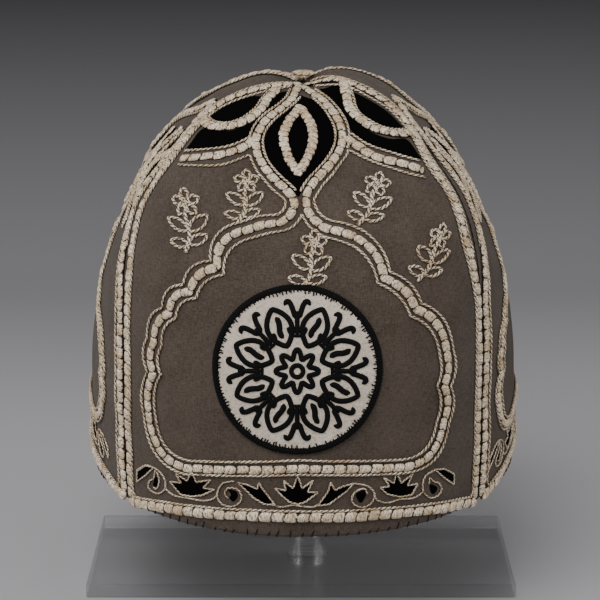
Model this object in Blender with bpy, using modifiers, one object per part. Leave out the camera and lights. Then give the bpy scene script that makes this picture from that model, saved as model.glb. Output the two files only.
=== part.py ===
"""Four-panel dervish cap of dark felt with couched silver bands, on a clear acrylic stand.

Frame: metres, +Z up, the wearer's front towards -Y. The origin is the middle of the stand plate's
underside. The cap is stated in its own frame in millimetres first: rim plane at height 0, crown up.

Every point of the cap is found from two numbers on one of its four panels (gores): the fraction across
the panel, -1 at its left seam and 1 at its right seam, and the station, the length in millimetres up
the panel's middle from the hem (0) to the crown. Embroidery is stated as it lies on the front panel's
flat cloth, millimetres across from the middle and millimetres up from the hem, and is fitted to every
panel from there.
"""
import math

import bmesh
import bpy
import numpy as np
from mathutils import Vector

MM = 0.001
MERGE_WITHIN = 0.001

# Stand, millimetres
PLATE_WIDTH = 180.0
PLATE_DEPTH = 96.0
PLATE_THICKNESS = 6.0
PLATE_EDGE = 0.5
POST_X = 2.9
POST_Y = -15.0
POST_RADIUS = 6.0
COLLAR_RADIUS = 9.0
COLLAR_HEIGHT = 3.0
COLLAR_CHAMFER = 0.6
REST_RADIUS = 20.0
REST_THICKNESS = 3.0
REST_CHAMFER = 1.0

# Cap as a whole, millimetres and degrees
GAP = 0.3
WALL = 3.0
TILT = 5.0
RIM_HEIGHT = 59.0
CAP_X = 0.9
CROWN_HOLE = 2.4

# The cap's level sections, one row for each height.
# height, half_width, half_depth, squareness (2 is an ellipse), groove depth at the seams (a negative one is
# a ridge, where the panels' edges stand up), groove width, seam direction in degrees from the side
SECTIONS = np.array((
    (0.0, 88.4, 104.5, 2.10, 1.0, 4.0, 43.5),
    (15.0, 89.1, 105.2, 2.10, 1.0, 4.0, 43.5),
    (35.0, 88.6, 104.6, 2.15, 1.0, 4.0, 43.5),
    (60.0, 86.8, 102.4, 2.30, 1.0, 4.0, 43.5),
    (85.0, 81.0, 95.6, 2.70, 1.0, 4.0, 42.0),
    (105.0, 72.2, 85.2, 3.40, 1.0, 4.0, 38.5),
    (122.0, 63.0, 72.5, 4.50, 1.0, 4.0, 35.5),
    (134.7, 54.0, 57.7, 4.80, 0.0, 5.0, 34.5),
    (144.0, 42.5, 43.2, 4.80, -0.9, 6.0, 26.5),
    (150.0, 31.0, 31.6, 4.60, -1.7, 8.0, 21.5),
    (153.4, 20.0, 20.3, 4.00, -1.9, 9.0, 23.5),
    (154.9, 9.0, 9.7, 3.50, -1.9, 9.0, 34.0),
    (152.6, 0.0, 0.0, 2.50, -1.5, 6.0, 45.0)))

# Soft swellings and hollows of the crown and shoulder, one row each.
# direction in degrees, station, rise, spread in degrees, spread in millimetres
SWELLINGS = (
    (0.0, 145.0, -2.8, 40.0, 13.0),
    (180.0, 146.0, -2.6, 40.0, 14.0),
    (9.0, 186.0, 4.3, 40.0, 23.0),
    (-42.0, 186.0, 2.4, 16.0, 10.0),
    (155.0, 184.0, 1.3, 40.0, 9.0))

# Direction that each panel faces, in degrees from +X, and how far up it the embroidery is stretched
PANELS = {"front": -90.0, "right": 0.0, "back": 90.0, "left": 180.0}
SIDE_PANELS = ("right", "left")
BORDER_TOP = 26.0
SIDE_RISE = 0.72

# Over a side panel's shoulder the embroidery is narrower: rows of millimetres up the front panel, share
SIDE_NARROWER = ((90.0, 115.0), (1.0, 0.86))

# The embroidery's middle lies a little to the left of the panel's.
PATTERN_ACROSS = -0.9

# Straight rails of embroidery sit lower near the seams than in the panel's middle.
RAIL_BOW = 9.0
BOW_FULL_BELOW = 30.0
BOW_GONE_ABOVE = 110.0

# Couched bands
BAND_WIDTH = 3.0
BAND_LIFT = 0.38
BAND_THICKNESS = 1.0
HEM_BAND_UP = 8.4
EDGE_CORNER = 2.5
EDGE_TOP = 189.0
SIDE_POINT_FROM = 140.0
SIDE_POINT_TOP = 165.0
SIDE_POINT_DRAWN_IN = 0.92
VELVET_THICKNESS = 0.6

# The edge bands stand further in from the seam over the shoulder, where plain felt turns the corner.
# station, inset on a side panel, on the right of the front and back panels, on their left
EDGE_INSETS = np.array((
    (0.0, 2.8, 2.8, 2.8),
    (85.0, 2.8, 2.8, 2.8),
    (98.0, 4.5, 7.0, 2.8),
    (110.0, 6.5, 10.0, 2.8),
    (122.0, 6.5, 10.5, 2.8),
    (134.0, 5.5, 9.0, 2.5),
    (146.0, 4.0, 7.5, 2.3),
    (156.0, 2.8, 5.0, 2.3),
    (166.0, 2.8, 3.2, 2.3),
    (204.0, 2.8, 2.6, 2.4)))

# The arch band's right and left halves, from the middle of its bottom rail to the crown.
# across, up, bulge of the arc to the next row (outwards is positive)
ARCH_RIGHT = (
    (0.0, 28.4, 0.0), (40.0, 27.6, 5.2), (59.5, 44.2, 2.0), (58.8, 58.0, 1.2), (59.5, 70.0, 3.2),
    (43.5, 88.8, 1.8), (31.0, 101.2, 1.8), (21.9, 115.9, 0.5), (10.8, 119.6, -1.4), (2.1, 128.0, -0.5),
    (8.7, 140.6, 4.8), (12.7, 169.9, -0.4), (3.4, 188.8, 0.0))
ARCH_LEFT = (
    (0.0, 28.4, 0.0), (46.0, 26.6, 5.4), (65.2, 46.0, 2.4), (61.0, 62.5, 2.0), (60.0, 74.1, 2.3),
    (51.2, 86.1, 2.5), (41.7, 95.2, 2.5), (31.0, 104.7, 4.0), (20.0, 119.3, 0.5), (8.1, 121.9, -1.3),
    (2.4, 129.4, -0.5), (9.5, 137.5, 5.8), (11.9, 167.9, -0.3), (2.6, 187.2, 0.0))

# Velvet crescents and leaves and the bands under the crescents: middle lines on the front panel.
# across, up, width
CRESCENT_RIGHT = ((43.6, 146.5, 0.6), (35.8, 151.5, 3.8), (27.5, 154.0, 4.2), (21.2, 159.1, 4.6),
                  (17.1, 169.7, 3.6), (13.3, 180.2, 3.4), (9.3, 186.2, 1.0))
CRESCENT_LEFT = ((42.3, 149.6, 0.6), (34.6, 154.4, 4.8), (26.2, 156.1, 5.0), (20.6, 160.2, 4.2),
                 (15.9, 169.3, 3.2), (11.3, 179.6, 3.6), (7.5, 185.7, 1.0))
LEAF_RIGHT = ((36.6, 160.3, 0.6), (30.6, 164.0, 4.6), (24.8, 169.4, 5.2), (20.1, 176.5, 0.6))
LEAF_LEFT = ((33.0, 164.9, 0.6), (26.9, 168.8, 5.0), (20.9, 174.1, 5.2), (15.4, 180.0, 0.6))
WING_RIGHT = ((44.0, 140.2), (36.5, 143.7), (27.4, 146.9), (21.6, 151.1), (18.6, 155.0))
WING_LEFT = ((43.6, 144.2), (32.9, 146.6), (25.0, 149.1), (19.5, 152.8))
ALMOND_VELVET = ((135.0, 1.0), (141.0, 6.0), (148.0, 11.2), (155.0, 12.8), (162.0, 11.8), (169.5, 8.2),
                 (176.0, 4.8), (181.5, 1.0))
VELVET_OFFSET = -0.4
VELVET_COLUMNS = 5

# Medallion on the front panel
MEDALLION_ACROSS = -2.3
MEDALLION_UP = 66.7
MEDALLION_RADIUS = 32.3
MEDALLION_EDGE_RADIUS = 1.0
MEDALLION_THICKNESS = 0.8

# Crown knot: half profile, radius and height above its seat
KNOT_PROFILE = ((0.0, 2.6), (2.2, 2.3), (4.0, 1.4), (4.5, 0.7), (3.6, 0.0), (0.0, 0.0))

# Faces: rows of a panel below and above the station where the crown bends in, columns crowded towards
# the seams, and the length of a band's faces, millimetres
CROWN_BEND_FROM = 112.0
WALL_ROWS = 7
CROWN_ROWS = 14
PANEL_COLUMNS = 12
COLUMN_CROWDING = 1.3
EDGE_STEP = 9.0
EDGE_BEND_FROM = 96.0
EDGE_STEP_CROWN = 5.2
ARCH_STEP = 8.5
CROWN_STEP = 7.5
STRAIGHT_UNDER_BULGE = 0.6
SHARP_FROM_DEGREES = 40.0
ROUNDEL_ROWS = 9
ROUNDEL_COLUMNS = 7
ROUNDEL_EDGE_FACES = 28
ROUNDEL_END = 0.02
KNOT_FACES = 16
STAND_FACES = 24

# How finely the crown is probed for the heights of the knot and of the disc that carries the cap
CROWN_REACH = 60.0
CROWN_PROBE_ROWS = 121
CROWN_PROBE_COLUMNS = 41

# Step of a slope taken from two points of the surface, in fractions and millimetres
SLOPE_STEP = 0.01

FELT = ((0.055, 0.044, 0.034), 0.95, 0.0)
SILVER = ((0.60, 0.54, 0.45), 0.45, 0.3)
VELVET = ((0.004, 0.004, 0.005), 1.0, 0.0)
CLOTH = ((0.62, 0.56, 0.48), 0.95, 0.0)
ACRYLIC = ((0.85, 0.87, 0.88), 0.05, 0.0)


def smooth(at, stations, values):
    """Values on the smooth curve through the rows: cubic pieces with the rows' mean slopes."""
    row = np.clip(np.searchsorted(stations, at, side="right") - 1, 0, len(stations) - 2)
    step = stations[row + 1] - stations[row]
    t = (at - stations[row]) / step
    slope = np.gradient(values, stations)
    start = (1 + 2 * t) * (1 - t) ** 2 * values[row] + t * (1 - t) ** 2 * step * slope[row]
    end = t * t * (3 - 2 * t) * values[row + 1] + t * t * (t - 1) * step * slope[row + 1]
    return start + end


STATIONS = np.concatenate(((0.0,), np.cumsum(np.hypot(*np.diff(SECTIONS[:, :2], axis=0).T))))
CROWN = STATIONS[-1]


def section(station):
    """The section table's columns at the given stations."""
    return [smooth(np.clip(station, 0.0, CROWN), STATIONS, column) for column in SECTIONS.T]


def half_angle(panel, seam):
    """Degrees from a panel's middle to its seam."""
    return seam if panel in SIDE_PANELS else 90.0 - seam


def bare_surface(panel, across, station):
    """Points of the cap before its seam grooves, with the half width of the panel there."""
    height, width, depth, square, _, _, seam = section(station)
    width, depth = np.maximum(width, 1e-3), np.maximum(depth, 1e-3)
    span = np.radians(half_angle(panel, seam))
    turn = np.radians(PANELS[panel]) + across * span
    sum_of_powers = np.abs(np.cos(turn) / width) ** square + np.abs(np.sin(turn) / depth) ** square
    reach = sum_of_powers ** (-1 / square)
    points = np.stack((reach * np.cos(turn), reach * np.sin(turn), height), -1)
    return points, reach * span, np.degrees(turn)


def panel_half_width(panel, station):
    """Length across a panel from its middle to its seam at the given stations."""
    station = np.asarray(station, float)
    return bare_surface(panel, np.zeros_like(station), station)[1]


def outward(panel, across, station):
    """Unit normals of the cap's surface."""
    middle = np.clip(station, 1.0, CROWN - 1.0)
    along = bare_surface(panel, across, middle + 0.5)[0] - bare_surface(panel, across, middle - 0.5)[0]
    sideways = bare_surface(panel, across + 0.02, middle)[0] - bare_surface(panel, across - 0.02, middle)[0]
    normal = np.cross(sideways, along)
    return normal / np.linalg.norm(normal, axis=-1, keepdims=True)


def surface(panel, across, station, lift=0.0):
    """Points on the cap, lifted off its cloth: the sections, plus swellings, less the seam grooves."""
    across, station = np.broadcast_arrays(np.asarray(across, float), np.asarray(station, float))
    points, half, turn = bare_surface(panel, across, station)
    groove_depth, groove_width = section(station)[4:6]
    to_seam = (1 - np.abs(across)) * half
    rise = lift - groove_depth * np.exp(-(to_seam / groove_width) ** 2)
    for direction, middle, height, spread, length in SWELLINGS:
        away = (turn - direction + 180.0) % 360.0 - 180.0
        rise = rise + height * np.exp(-(away / spread) ** 2 - ((station - middle) / length) ** 2)
    return points + np.asarray(rise)[..., None] * outward(panel, across, station)


def placed(points):
    """The cap's frame to the part's frame: tilted forwards, lifted onto the stand, in metres."""
    x, y, z = np.moveaxis(np.asarray(points, float), -1, 0)
    tilt = math.radians(TILT)
    back = POST_Y + y * math.cos(tilt) - z * math.sin(tilt)
    up = RIM_HEIGHT + y * math.sin(tilt) + z * math.cos(tilt)
    return np.stack((CAP_X + x, back, up), -1) * MM


def fitted(panel, across, up):
    """Flat embroidery coordinates to the fraction across a panel and the station up it."""
    across, up = np.asarray(across, float) + PATTERN_ACROSS, np.asarray(up, float)
    fraction = across / panel_half_width("front", up)
    fade = np.clip((BOW_GONE_ABOVE - up) / (BOW_GONE_ABOVE - BOW_FULL_BELOW), 0.0, 1.0)
    if panel in SIDE_PANELS:
        fraction = fraction * np.interp(up, *SIDE_NARROWER)
        up = np.where(up > BORDER_TOP, BORDER_TOP + (up - BORDER_TOP) * SIDE_RISE, up)
    return fraction, up - RAIL_BOW * fade * fraction ** 2


def material(name, look):
    """A plain Principled material."""
    colour, roughness, metallic = look
    made = bpy.data.materials.new(name)
    made.use_nodes = True
    shader = made.node_tree.nodes["Principled BSDF"]
    shader.inputs["Base Color"].default_value = (*colour, 1.0)
    shader.inputs["Roughness"].default_value = roughness
    shader.inputs["Metallic"].default_value = metallic
    made.diffuse_color = (*colour, 1.0)
    return made


def add(name, mesh, look):
    """A named object in the cap's collection with its own material."""
    piece = bpy.data.objects.new(name, mesh)
    bpy.data.collections["dervish_cap"].objects.link(piece)
    mesh.materials.append(material(name, look))
    return piece


def lofted(name, outer, inner, look):
    """A closed sheet between two grids of points, whose coinciding points are merged."""
    rows, columns = outer.shape[:2]
    count = rows * columns
    index = np.arange(count).reshape(rows, columns)
    quads = np.stack((index[:-1, :-1], index[:-1, 1:], index[1:, 1:], index[1:, :-1]), -1).reshape(-1, 4)
    rim = np.concatenate((index[0, :-1], index[:-1, -1], index[-1, :0:-1], index[:0:-1, 0]))
    after = np.roll(rim, -1)
    walls = np.stack((rim, rim + count, after + count, after), -1)
    faces = np.concatenate((quads, quads[:, ::-1] + count, walls))
    mesh = bpy.data.meshes.new(name)
    points = np.concatenate((outer.reshape(-1, 3), inner.reshape(-1, 3)))
    mesh.from_pydata(points.tolist(), [], faces.tolist())
    shape = bmesh.new()
    shape.from_mesh(mesh)
    bmesh.ops.remove_doubles(shape, verts=shape.verts, dist=MERGE_WITHIN * MM)
    bmesh.ops.recalc_face_normals(shape, faces=shape.faces)
    shape.to_mesh(mesh)
    shape.free()
    mesh.shade_smooth()
    mesh.set_sharp_from_angle(angle=math.radians(SHARP_FROM_DEGREES))
    return add(name, mesh, look)


def arc_path(rows, step):
    """Points along arcs between the rows (across, up, bulge), a step apart, at least two to an arc."""
    points = []
    for (x0, y0, bulge), (x1, y1, _) in zip(rows, rows[1:]):
        chord = math.hypot(x1 - x0, y1 - y0)
        pieces = max(1 if abs(bulge) < STRAIGHT_UNDER_BULGE else 2, round(chord / step))
        t = np.arange(pieces) / pieces
        sag = 4 * bulge * t * (1 - t) / chord
        across = x0 + (x1 - x0) * t + (y1 - y0) * sag
        up = y0 + (y1 - y0) * t - (x1 - x0) * sag
        points.append(np.stack((across, up), -1))
    points.append(np.array(((rows[-1][0], rows[-1][1]),)))
    return np.concatenate(points)


def finer(rows, step):
    """The columns of a line's rows (across, up, ...), with rows put in where they are over a step apart."""
    rows = np.array(rows)
    pieces = np.maximum(1, np.ceil(np.hypot(*np.diff(rows[:, :2], axis=0).T) / step).astype(int))
    at = np.concatenate([i + np.arange(n) / n for i, n in enumerate(pieces)] + [[len(rows) - 1]])
    return [np.interp(at, np.arange(len(rows)), column) for column in rows.T]


def ribbon(name, panel, across, station, width, thickness, look):
    """A band lying on a panel: its middle line is carried sideways by half its width each way."""
    width = np.broadcast_to(np.asarray(width, float), across.shape)
    half = panel_half_width(panel, station)
    here = surface(panel, across, station)
    by_across = (surface(panel, across + SLOPE_STEP, station) - here) / SLOPE_STEP
    by_station = (surface(panel, across, station + SLOPE_STEP) - here) / SLOPE_STEP
    along = np.gradient(here, axis=0)
    side = np.cross(outward(panel, across, station), along)
    side *= (width / 2 / np.linalg.norm(side, axis=-1))[:, None]
    aa, ab, bb = ((p * q).sum(-1) for p, q in ((by_across, by_across), (by_across, by_station),
                                               (by_station, by_station)))
    sa, sb = (side * by_across).sum(-1), (side * by_station).sum(-1)
    over = (sa * bb - sb * ab) / (aa * bb - ab * ab)
    up = (sb * aa - sa * ab) / (aa * bb - ab * ab)
    limit = 1 - GAP / half
    grid_across = np.clip(np.stack((across - over, across + over), 1), -limit[:, None], limit[:, None])
    grid_station = np.stack((station - up, station + up), 1)
    outer = placed(surface(panel, grid_across, grid_station, BAND_LIFT + thickness))
    inner = placed(surface(panel, grid_across, grid_station, BAND_LIFT))
    return lofted(name, outer, inner, look)


def make_panel(panel):
    """One felt panel: an outer and an inner surface with the wall between them, clear of its neighbours."""
    rows = np.concatenate((np.linspace(0.0, CROWN_BEND_FROM, WALL_ROWS, endpoint=False),
                           np.linspace(CROWN_BEND_FROM, CROWN - CROWN_HOLE, CROWN_ROWS + 1)))
    spread = np.linspace(-1.0, 1.0, PANEL_COLUMNS + 1) * COLUMN_CROWDING
    columns = np.sin(spread) / math.sin(COLUMN_CROWDING)
    edge = 1 - GAP / 2 / panel_half_width(panel, rows)
    across = columns[None, :] * edge[:, None]
    station = rows[:, None] + 0 * across
    lofted("gore_" + panel, placed(surface(panel, across, station)),
           placed(surface(panel, across, station, -WALL)), FELT)


def edge_fraction(panel, station, sign):
    """The fraction across a panel of its edge band's right (1) or left (-1) side at the given stations."""
    column = 1 if panel in SIDE_PANELS else 2 if sign > 0 else 3
    inset = np.interp(station, EDGE_INSETS[:, 0], EDGE_INSETS[:, column])
    fraction = 1 - inset / panel_half_width(panel, station)
    if panel in SIDE_PANELS:
        beyond = np.clip((station - SIDE_POINT_FROM) / (SIDE_POINT_TOP - SIDE_POINT_FROM), 0.0, 1.0)
        fraction = fraction * (1 - SIDE_POINT_DRAWN_IN * beyond ** 2)
    return fraction


def edge_path(panel):
    """The band along a panel's seams and hem, as a fraction across and a station, left top to right top."""
    top = SIDE_POINT_TOP if panel in SIDE_PANELS else EDGE_TOP
    start, bend = HEM_BAND_UP + EDGE_CORNER, EDGE_BEND_FROM
    side_up = np.concatenate((np.linspace(start, bend, round((bend - start) / EDGE_STEP), endpoint=False),
                              np.linspace(bend, top, 1 + round((top - bend) / EDGE_STEP_CROWN))))
    right, left = edge_fraction(panel, side_up, 1), edge_fraction(panel, side_up, -1)
    bow = RAIL_BOW * np.clip((BOW_GONE_ABOVE - side_up) / (BOW_GONE_ABOVE - BOW_FULL_BELOW), 0.0, 1.0)
    corner = EDGE_CORNER / panel_half_width(panel, HEM_BAND_UP)
    hem_steps = round(2 * panel_half_width(panel, 0.0) / EDGE_STEP)
    hem = np.linspace(corner - left[0], right[0] - corner, hem_steps)
    left_station, right_station = side_up - bow * left ** 2, side_up - bow * right ** 2
    return (np.concatenate((-left[::-1], hem, right)),
            np.concatenate((left_station[::-1], HEM_BAND_UP - RAIL_BOW * hem ** 2, right_station)))


def make_bands(panel):
    """The couched silver bands of one panel."""
    across, station = edge_path(panel)
    ribbon("edge_band_" + panel, panel, across, station, BAND_WIDTH, BAND_THICKNESS, SILVER)
    right = arc_path(ARCH_RIGHT, ARCH_STEP)
    left = arc_path(ARCH_LEFT, ARCH_STEP)[:0:-1] * (-1, 1)
    across, station = fitted(panel, *np.concatenate((left, right)).T)
    ribbon("arch_band_" + panel, panel, across, station, BAND_WIDTH, BAND_THICKNESS, SILVER)
    for side, rows, sign in (("right", WING_RIGHT, 1), ("left", WING_LEFT, -1)):
        across, up = finer(rows, CROWN_STEP)
        across, station = fitted(panel, sign * across, up)
        ribbon(f"wing_band_{side}_{panel}", panel, across, station, BAND_WIDTH, BAND_THICKNESS, SILVER)


def make_velvet(panel):
    """The black velvet almond, crescents and leaves of one panel."""
    up, half = np.array(ALMOND_VELVET).T
    across = half[:, None] * np.linspace(-1.0, 1.0, VELVET_COLUMNS)[None, :] + VELVET_OFFSET
    across, station = fitted(panel, across, up[:, None] + 0 * across)
    lofted("almond_velvet_" + panel, placed(surface(panel, across, station, GAP + VELVET_THICKNESS)),
           placed(surface(panel, across, station, GAP)), VELVET)
    shapes = (("crescent_right", CRESCENT_RIGHT, 1), ("crescent_left", CRESCENT_LEFT, -1),
              ("leaf_right", LEAF_RIGHT, 1), ("leaf_left", LEAF_LEFT, -1))
    for name, rows, sign in shapes:
        across, up, width = finer(rows, CROWN_STEP)
        across, station = fitted(panel, sign * across, up)
        ribbon(f"{name}_{panel}", panel, across, station, width, VELVET_THICKNESS, VELVET)


def make_medallion():
    """The white cloth roundel and the black stitched edge round it, on the front panel."""
    chord = np.cos(np.linspace(ROUNDEL_END, math.pi - ROUNDEL_END, ROUNDEL_ROWS))
    cloth_radius = MEDALLION_RADIUS - 2 * MEDALLION_EDGE_RADIUS - GAP
    up = MEDALLION_UP + cloth_radius * chord[:, None] + np.zeros((1, ROUNDEL_COLUMNS))
    half = cloth_radius * np.sqrt(1 - chord ** 2)
    across = MEDALLION_ACROSS + half[:, None] * np.linspace(-1.0, 1.0, ROUNDEL_COLUMNS)[None, :]
    fraction = across / panel_half_width("front", up)
    lofted("medallion_cloth", placed(surface("front", fraction, up, GAP + MEDALLION_THICKNESS)),
           placed(surface("front", fraction, up, GAP)), CLOTH)
    turn = np.linspace(0.0, 2 * math.pi, ROUNDEL_EDGE_FACES, endpoint=False)
    radius = MEDALLION_RADIUS - MEDALLION_EDGE_RADIUS
    up = MEDALLION_UP + radius * np.sin(turn)
    fraction = (MEDALLION_ACROSS + radius * np.cos(turn)) / panel_half_width("front", up)
    tube("medallion_edge", placed(surface("front", fraction, up, GAP + MEDALLION_EDGE_RADIUS)),
         MEDALLION_EDGE_RADIUS * MM, VELVET)


def tube(name, points, radius, look):
    """A closed ring of tube through the points, made a mesh."""
    curve = bpy.data.curves.new(name + "_path", "CURVE")
    curve.dimensions = "3D"
    curve.bevel_depth = radius
    curve.bevel_resolution = 1
    spline = curve.splines.new("POLY")
    spline.points.add(len(points) - 1)
    spline.points.foreach_set("co", np.column_stack((points, np.ones(len(points)))).ravel())
    spline.use_cyclic_u = True
    guide = bpy.data.objects.new(name + "_path", curve)
    bpy.context.scene.collection.objects.link(guide)
    bpy.context.view_layer.update()
    mesh = bpy.data.meshes.new_from_object(guide.evaluated_get(bpy.context.evaluated_depsgraph_get()))
    bpy.data.objects.remove(guide)
    mesh.name = name
    return add(name, mesh, look)


def turned(name, profile, centre, steps, look):
    """A solid of revolution: the half profile (radius, height), top to bottom, turned by a Screw modifier.
    A profile that ends where it starts goes round a hole."""
    mesh = bpy.data.meshes.new(name)
    ring = profile[0] == profile[-1]
    points = profile[:-1] if ring else profile
    edges = [(i, (i + 1) % len(points)) for i in range(len(profile) - 1)]
    mesh.from_pydata([(r * MM, 0.0, z * MM) for r, z in points], edges, [])
    piece = add(name, mesh, look)
    piece.location = Vector(centre) * MM
    screw = piece.modifiers.new("turn", "SCREW")
    screw.steps = steps
    screw.render_steps = steps
    screw.use_merge_vertices = True
    screw.merge_threshold = MERGE_WITHIN * MM
    return piece


def crown_surface_low(radius, centre, lift):
    """Lowest height, in the part's millimetres, of the cap's surface within a radius of an upright axis."""
    return min(crown_heights(panel, radius, centre, lift).min() for panel in PANELS)


def crown_surface_high(radius, centre):
    """Highest height of the cap's outside within a radius of an upright axis."""
    return max(crown_heights(panel, radius, centre, 0.0).max() for panel in PANELS)


def crown_heights(panel, radius, centre, lift):
    """Heights of one panel's points that are within a radius of an upright axis."""
    station = np.linspace(CROWN - CROWN_REACH, CROWN - CROWN_HOLE, CROWN_PROBE_ROWS)
    across, station = np.meshgrid(np.linspace(-1.0, 1.0, CROWN_PROBE_COLUMNS), station)
    points = placed(surface(panel, across, station, lift)) / MM
    near = np.hypot(points[..., 0] - centre[0], points[..., 1] - centre[1]) < radius
    return points[..., 2][near]


def make_knot():
    """The stitched knot over the point where the four panels meet."""
    seat = placed(surface("front", 0.0, CROWN - CROWN_HOLE)) / MM
    centre = placed((0.0, 0.0, SECTIONS[-1, 0])) / MM
    radius = max(r for r, _ in KNOT_PROFILE)
    height = crown_surface_high(radius, centre) + GAP
    turned("crown_knot", KNOT_PROFILE, (centre[0], centre[1], max(height, seat[2])), KNOT_FACES, SILVER)


def make_stand():
    """Clear plate, collar and post, with the hidden disc under the crown that carries the cap."""
    mesh = bpy.data.meshes.new("stand_plate")
    shape = bmesh.new()
    bmesh.ops.create_cube(shape, size=1.0)
    size = Vector((PLATE_WIDTH, PLATE_DEPTH, PLATE_THICKNESS)) * MM
    bmesh.ops.scale(shape, vec=size, verts=shape.verts)
    bmesh.ops.translate(shape, vec=(0.0, 0.0, PLATE_THICKNESS / 2 * MM), verts=shape.verts)
    shape.to_mesh(mesh)
    shape.free()
    plate = add("stand_plate", mesh, ACRYLIC)
    bevel = plate.modifiers.new("edges", "BEVEL")
    bevel.width = PLATE_EDGE * MM
    bevel.segments = 1
    top = PLATE_THICKNESS + GAP
    bore = POST_RADIUS + GAP
    collar = ((bore, COLLAR_HEIGHT), (COLLAR_RADIUS - COLLAR_CHAMFER, COLLAR_HEIGHT),
              (COLLAR_RADIUS, COLLAR_HEIGHT - COLLAR_CHAMFER), (COLLAR_RADIUS, 0.0), (bore, 0.0),
              (bore, COLLAR_HEIGHT))
    turned("stand_collar", collar, (POST_X, POST_Y, top), STAND_FACES, ACRYLIC)
    rest_top = crown_surface_low(REST_RADIUS, (POST_X, POST_Y), -WALL) - GAP
    rest_low = rest_top - REST_THICKNESS
    post = ((0.0, rest_low - GAP - top), (POST_RADIUS, rest_low - GAP - top), (POST_RADIUS, 0.0), (0.0, 0.0))
    turned("stand_post", post, (POST_X, POST_Y, top), STAND_FACES, ACRYLIC)
    rest = ((0.0, REST_THICKNESS), (REST_RADIUS - REST_CHAMFER, REST_THICKNESS),
            (REST_RADIUS, REST_THICKNESS - REST_CHAMFER), (REST_RADIUS, 0.0), (0.0, 0.0))
    turned("stand_rest", rest, (POST_X, POST_Y, rest_low), STAND_FACES, ACRYLIC)


def main():
    for leftover in list(bpy.data.objects):
        bpy.data.objects.remove(leftover)
    collection = bpy.data.collections.new("dervish_cap")
    bpy.context.scene.collection.children.link(collection)
    make_stand()
    for panel in PANELS:
        make_panel(panel)
        make_bands(panel)
        make_velvet(panel)
    make_medallion()
    make_knot()


main()
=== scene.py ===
"""Looks of a four-panel dervish cap: dark felt, couched silver bands, velvet shapes, on a clear stand.

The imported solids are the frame. Every soft piece is worked out again here with numpy, finer, from the same
shape: a point of the cap is found from the fraction across one of its four panels (-1 at its left seam, 1
at its right seam) and the station, the length in millimetres up the panel's middle from the hem. The
embroidery is stated as it lies on the front panel's flat cloth, millimetres across and up, and is fitted
to every panel from there.
"""
import math

import bmesh
import bpy
import numpy as np
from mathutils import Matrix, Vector


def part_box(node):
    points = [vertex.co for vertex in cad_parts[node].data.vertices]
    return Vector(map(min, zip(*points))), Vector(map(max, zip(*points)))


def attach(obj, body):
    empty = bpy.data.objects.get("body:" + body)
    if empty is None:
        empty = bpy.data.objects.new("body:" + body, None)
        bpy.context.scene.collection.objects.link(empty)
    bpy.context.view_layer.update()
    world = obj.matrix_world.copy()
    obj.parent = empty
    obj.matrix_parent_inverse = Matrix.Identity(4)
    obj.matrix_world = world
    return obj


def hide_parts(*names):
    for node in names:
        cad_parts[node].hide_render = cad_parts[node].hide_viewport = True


bl_info = {
    "name": "Dervish cap looks",
    "version": (1, 0, 0),
    "blender": (4, 5, 0),
    "location": "3D View > Sidebar > Cap",
    "description": "Builds the felt, embroidery and stage of a dervish cap round its packed solids",
    "category": "Object",
}

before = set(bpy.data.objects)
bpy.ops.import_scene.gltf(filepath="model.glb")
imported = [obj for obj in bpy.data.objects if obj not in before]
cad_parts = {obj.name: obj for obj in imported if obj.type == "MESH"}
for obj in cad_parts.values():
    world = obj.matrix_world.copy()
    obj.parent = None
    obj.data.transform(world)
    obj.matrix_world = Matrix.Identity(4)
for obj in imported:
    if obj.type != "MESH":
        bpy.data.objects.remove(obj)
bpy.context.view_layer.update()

MM = 0.001
UV_MM = 100.0

# Cap as a whole, millimetres and degrees, as in the solids
WALL = 3.0
TILT = 5.0
POST_Y = -15.0
RIM_HEIGHT = 59.0
CAP_X = 0.9
CROWN_HOLE = 2.4

# The cap's level sections, one row for each height.
# height, half_width, half_depth, squareness (2 is an ellipse), groove depth at the seams (a negative one is
# a ridge, where the panels' edges stand up), groove width, seam direction in degrees from the side
SECTIONS = np.array((
    (0.0, 88.4, 104.5, 2.10, 1.0, 4.0, 43.5),
    (15.0, 89.1, 105.2, 2.10, 1.0, 4.0, 43.5),
    (35.0, 88.6, 104.6, 2.15, 1.0, 4.0, 43.5),
    (60.0, 86.8, 102.4, 2.30, 1.0, 4.0, 43.5),
    (85.0, 81.0, 95.6, 2.70, 1.0, 4.0, 42.0),
    (105.0, 72.2, 85.2, 3.40, 1.0, 4.0, 38.5),
    (122.0, 63.0, 72.5, 4.50, 1.0, 4.0, 35.5),
    (134.7, 54.0, 57.7, 4.80, 0.0, 5.0, 34.5),
    (144.0, 42.5, 43.2, 4.80, -0.9, 6.0, 26.5),
    (150.0, 31.0, 31.6, 4.60, -1.7, 8.0, 21.5),
    (153.4, 20.0, 20.3, 4.00, -1.9, 9.0, 23.5),
    (154.9, 9.0, 9.7, 3.50, -1.9, 9.0, 34.0),
    (152.6, 0.0, 0.0, 2.50, -1.5, 6.0, 45.0)))

# Soft swellings and hollows of the crown and shoulder, one row each.
# direction in degrees, station, rise, spread in degrees, spread in millimetres
SWELLINGS = (
    (0.0, 145.0, -2.8, 40.0, 13.0),
    (180.0, 146.0, -2.6, 40.0, 14.0),
    (9.0, 186.0, 4.3, 40.0, 23.0),
    (-42.0, 186.0, 2.4, 16.0, 10.0),
    (155.0, 184.0, 1.3, 40.0, 9.0))

# Slow unevenness of the hand-made felt: rise in millimetres, wavelengths along x, y and z over two pi
WAVES = ((0.22, 9.0, 11.0, 8.5), (0.14, 4.1, 5.3, 4.7))

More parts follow.
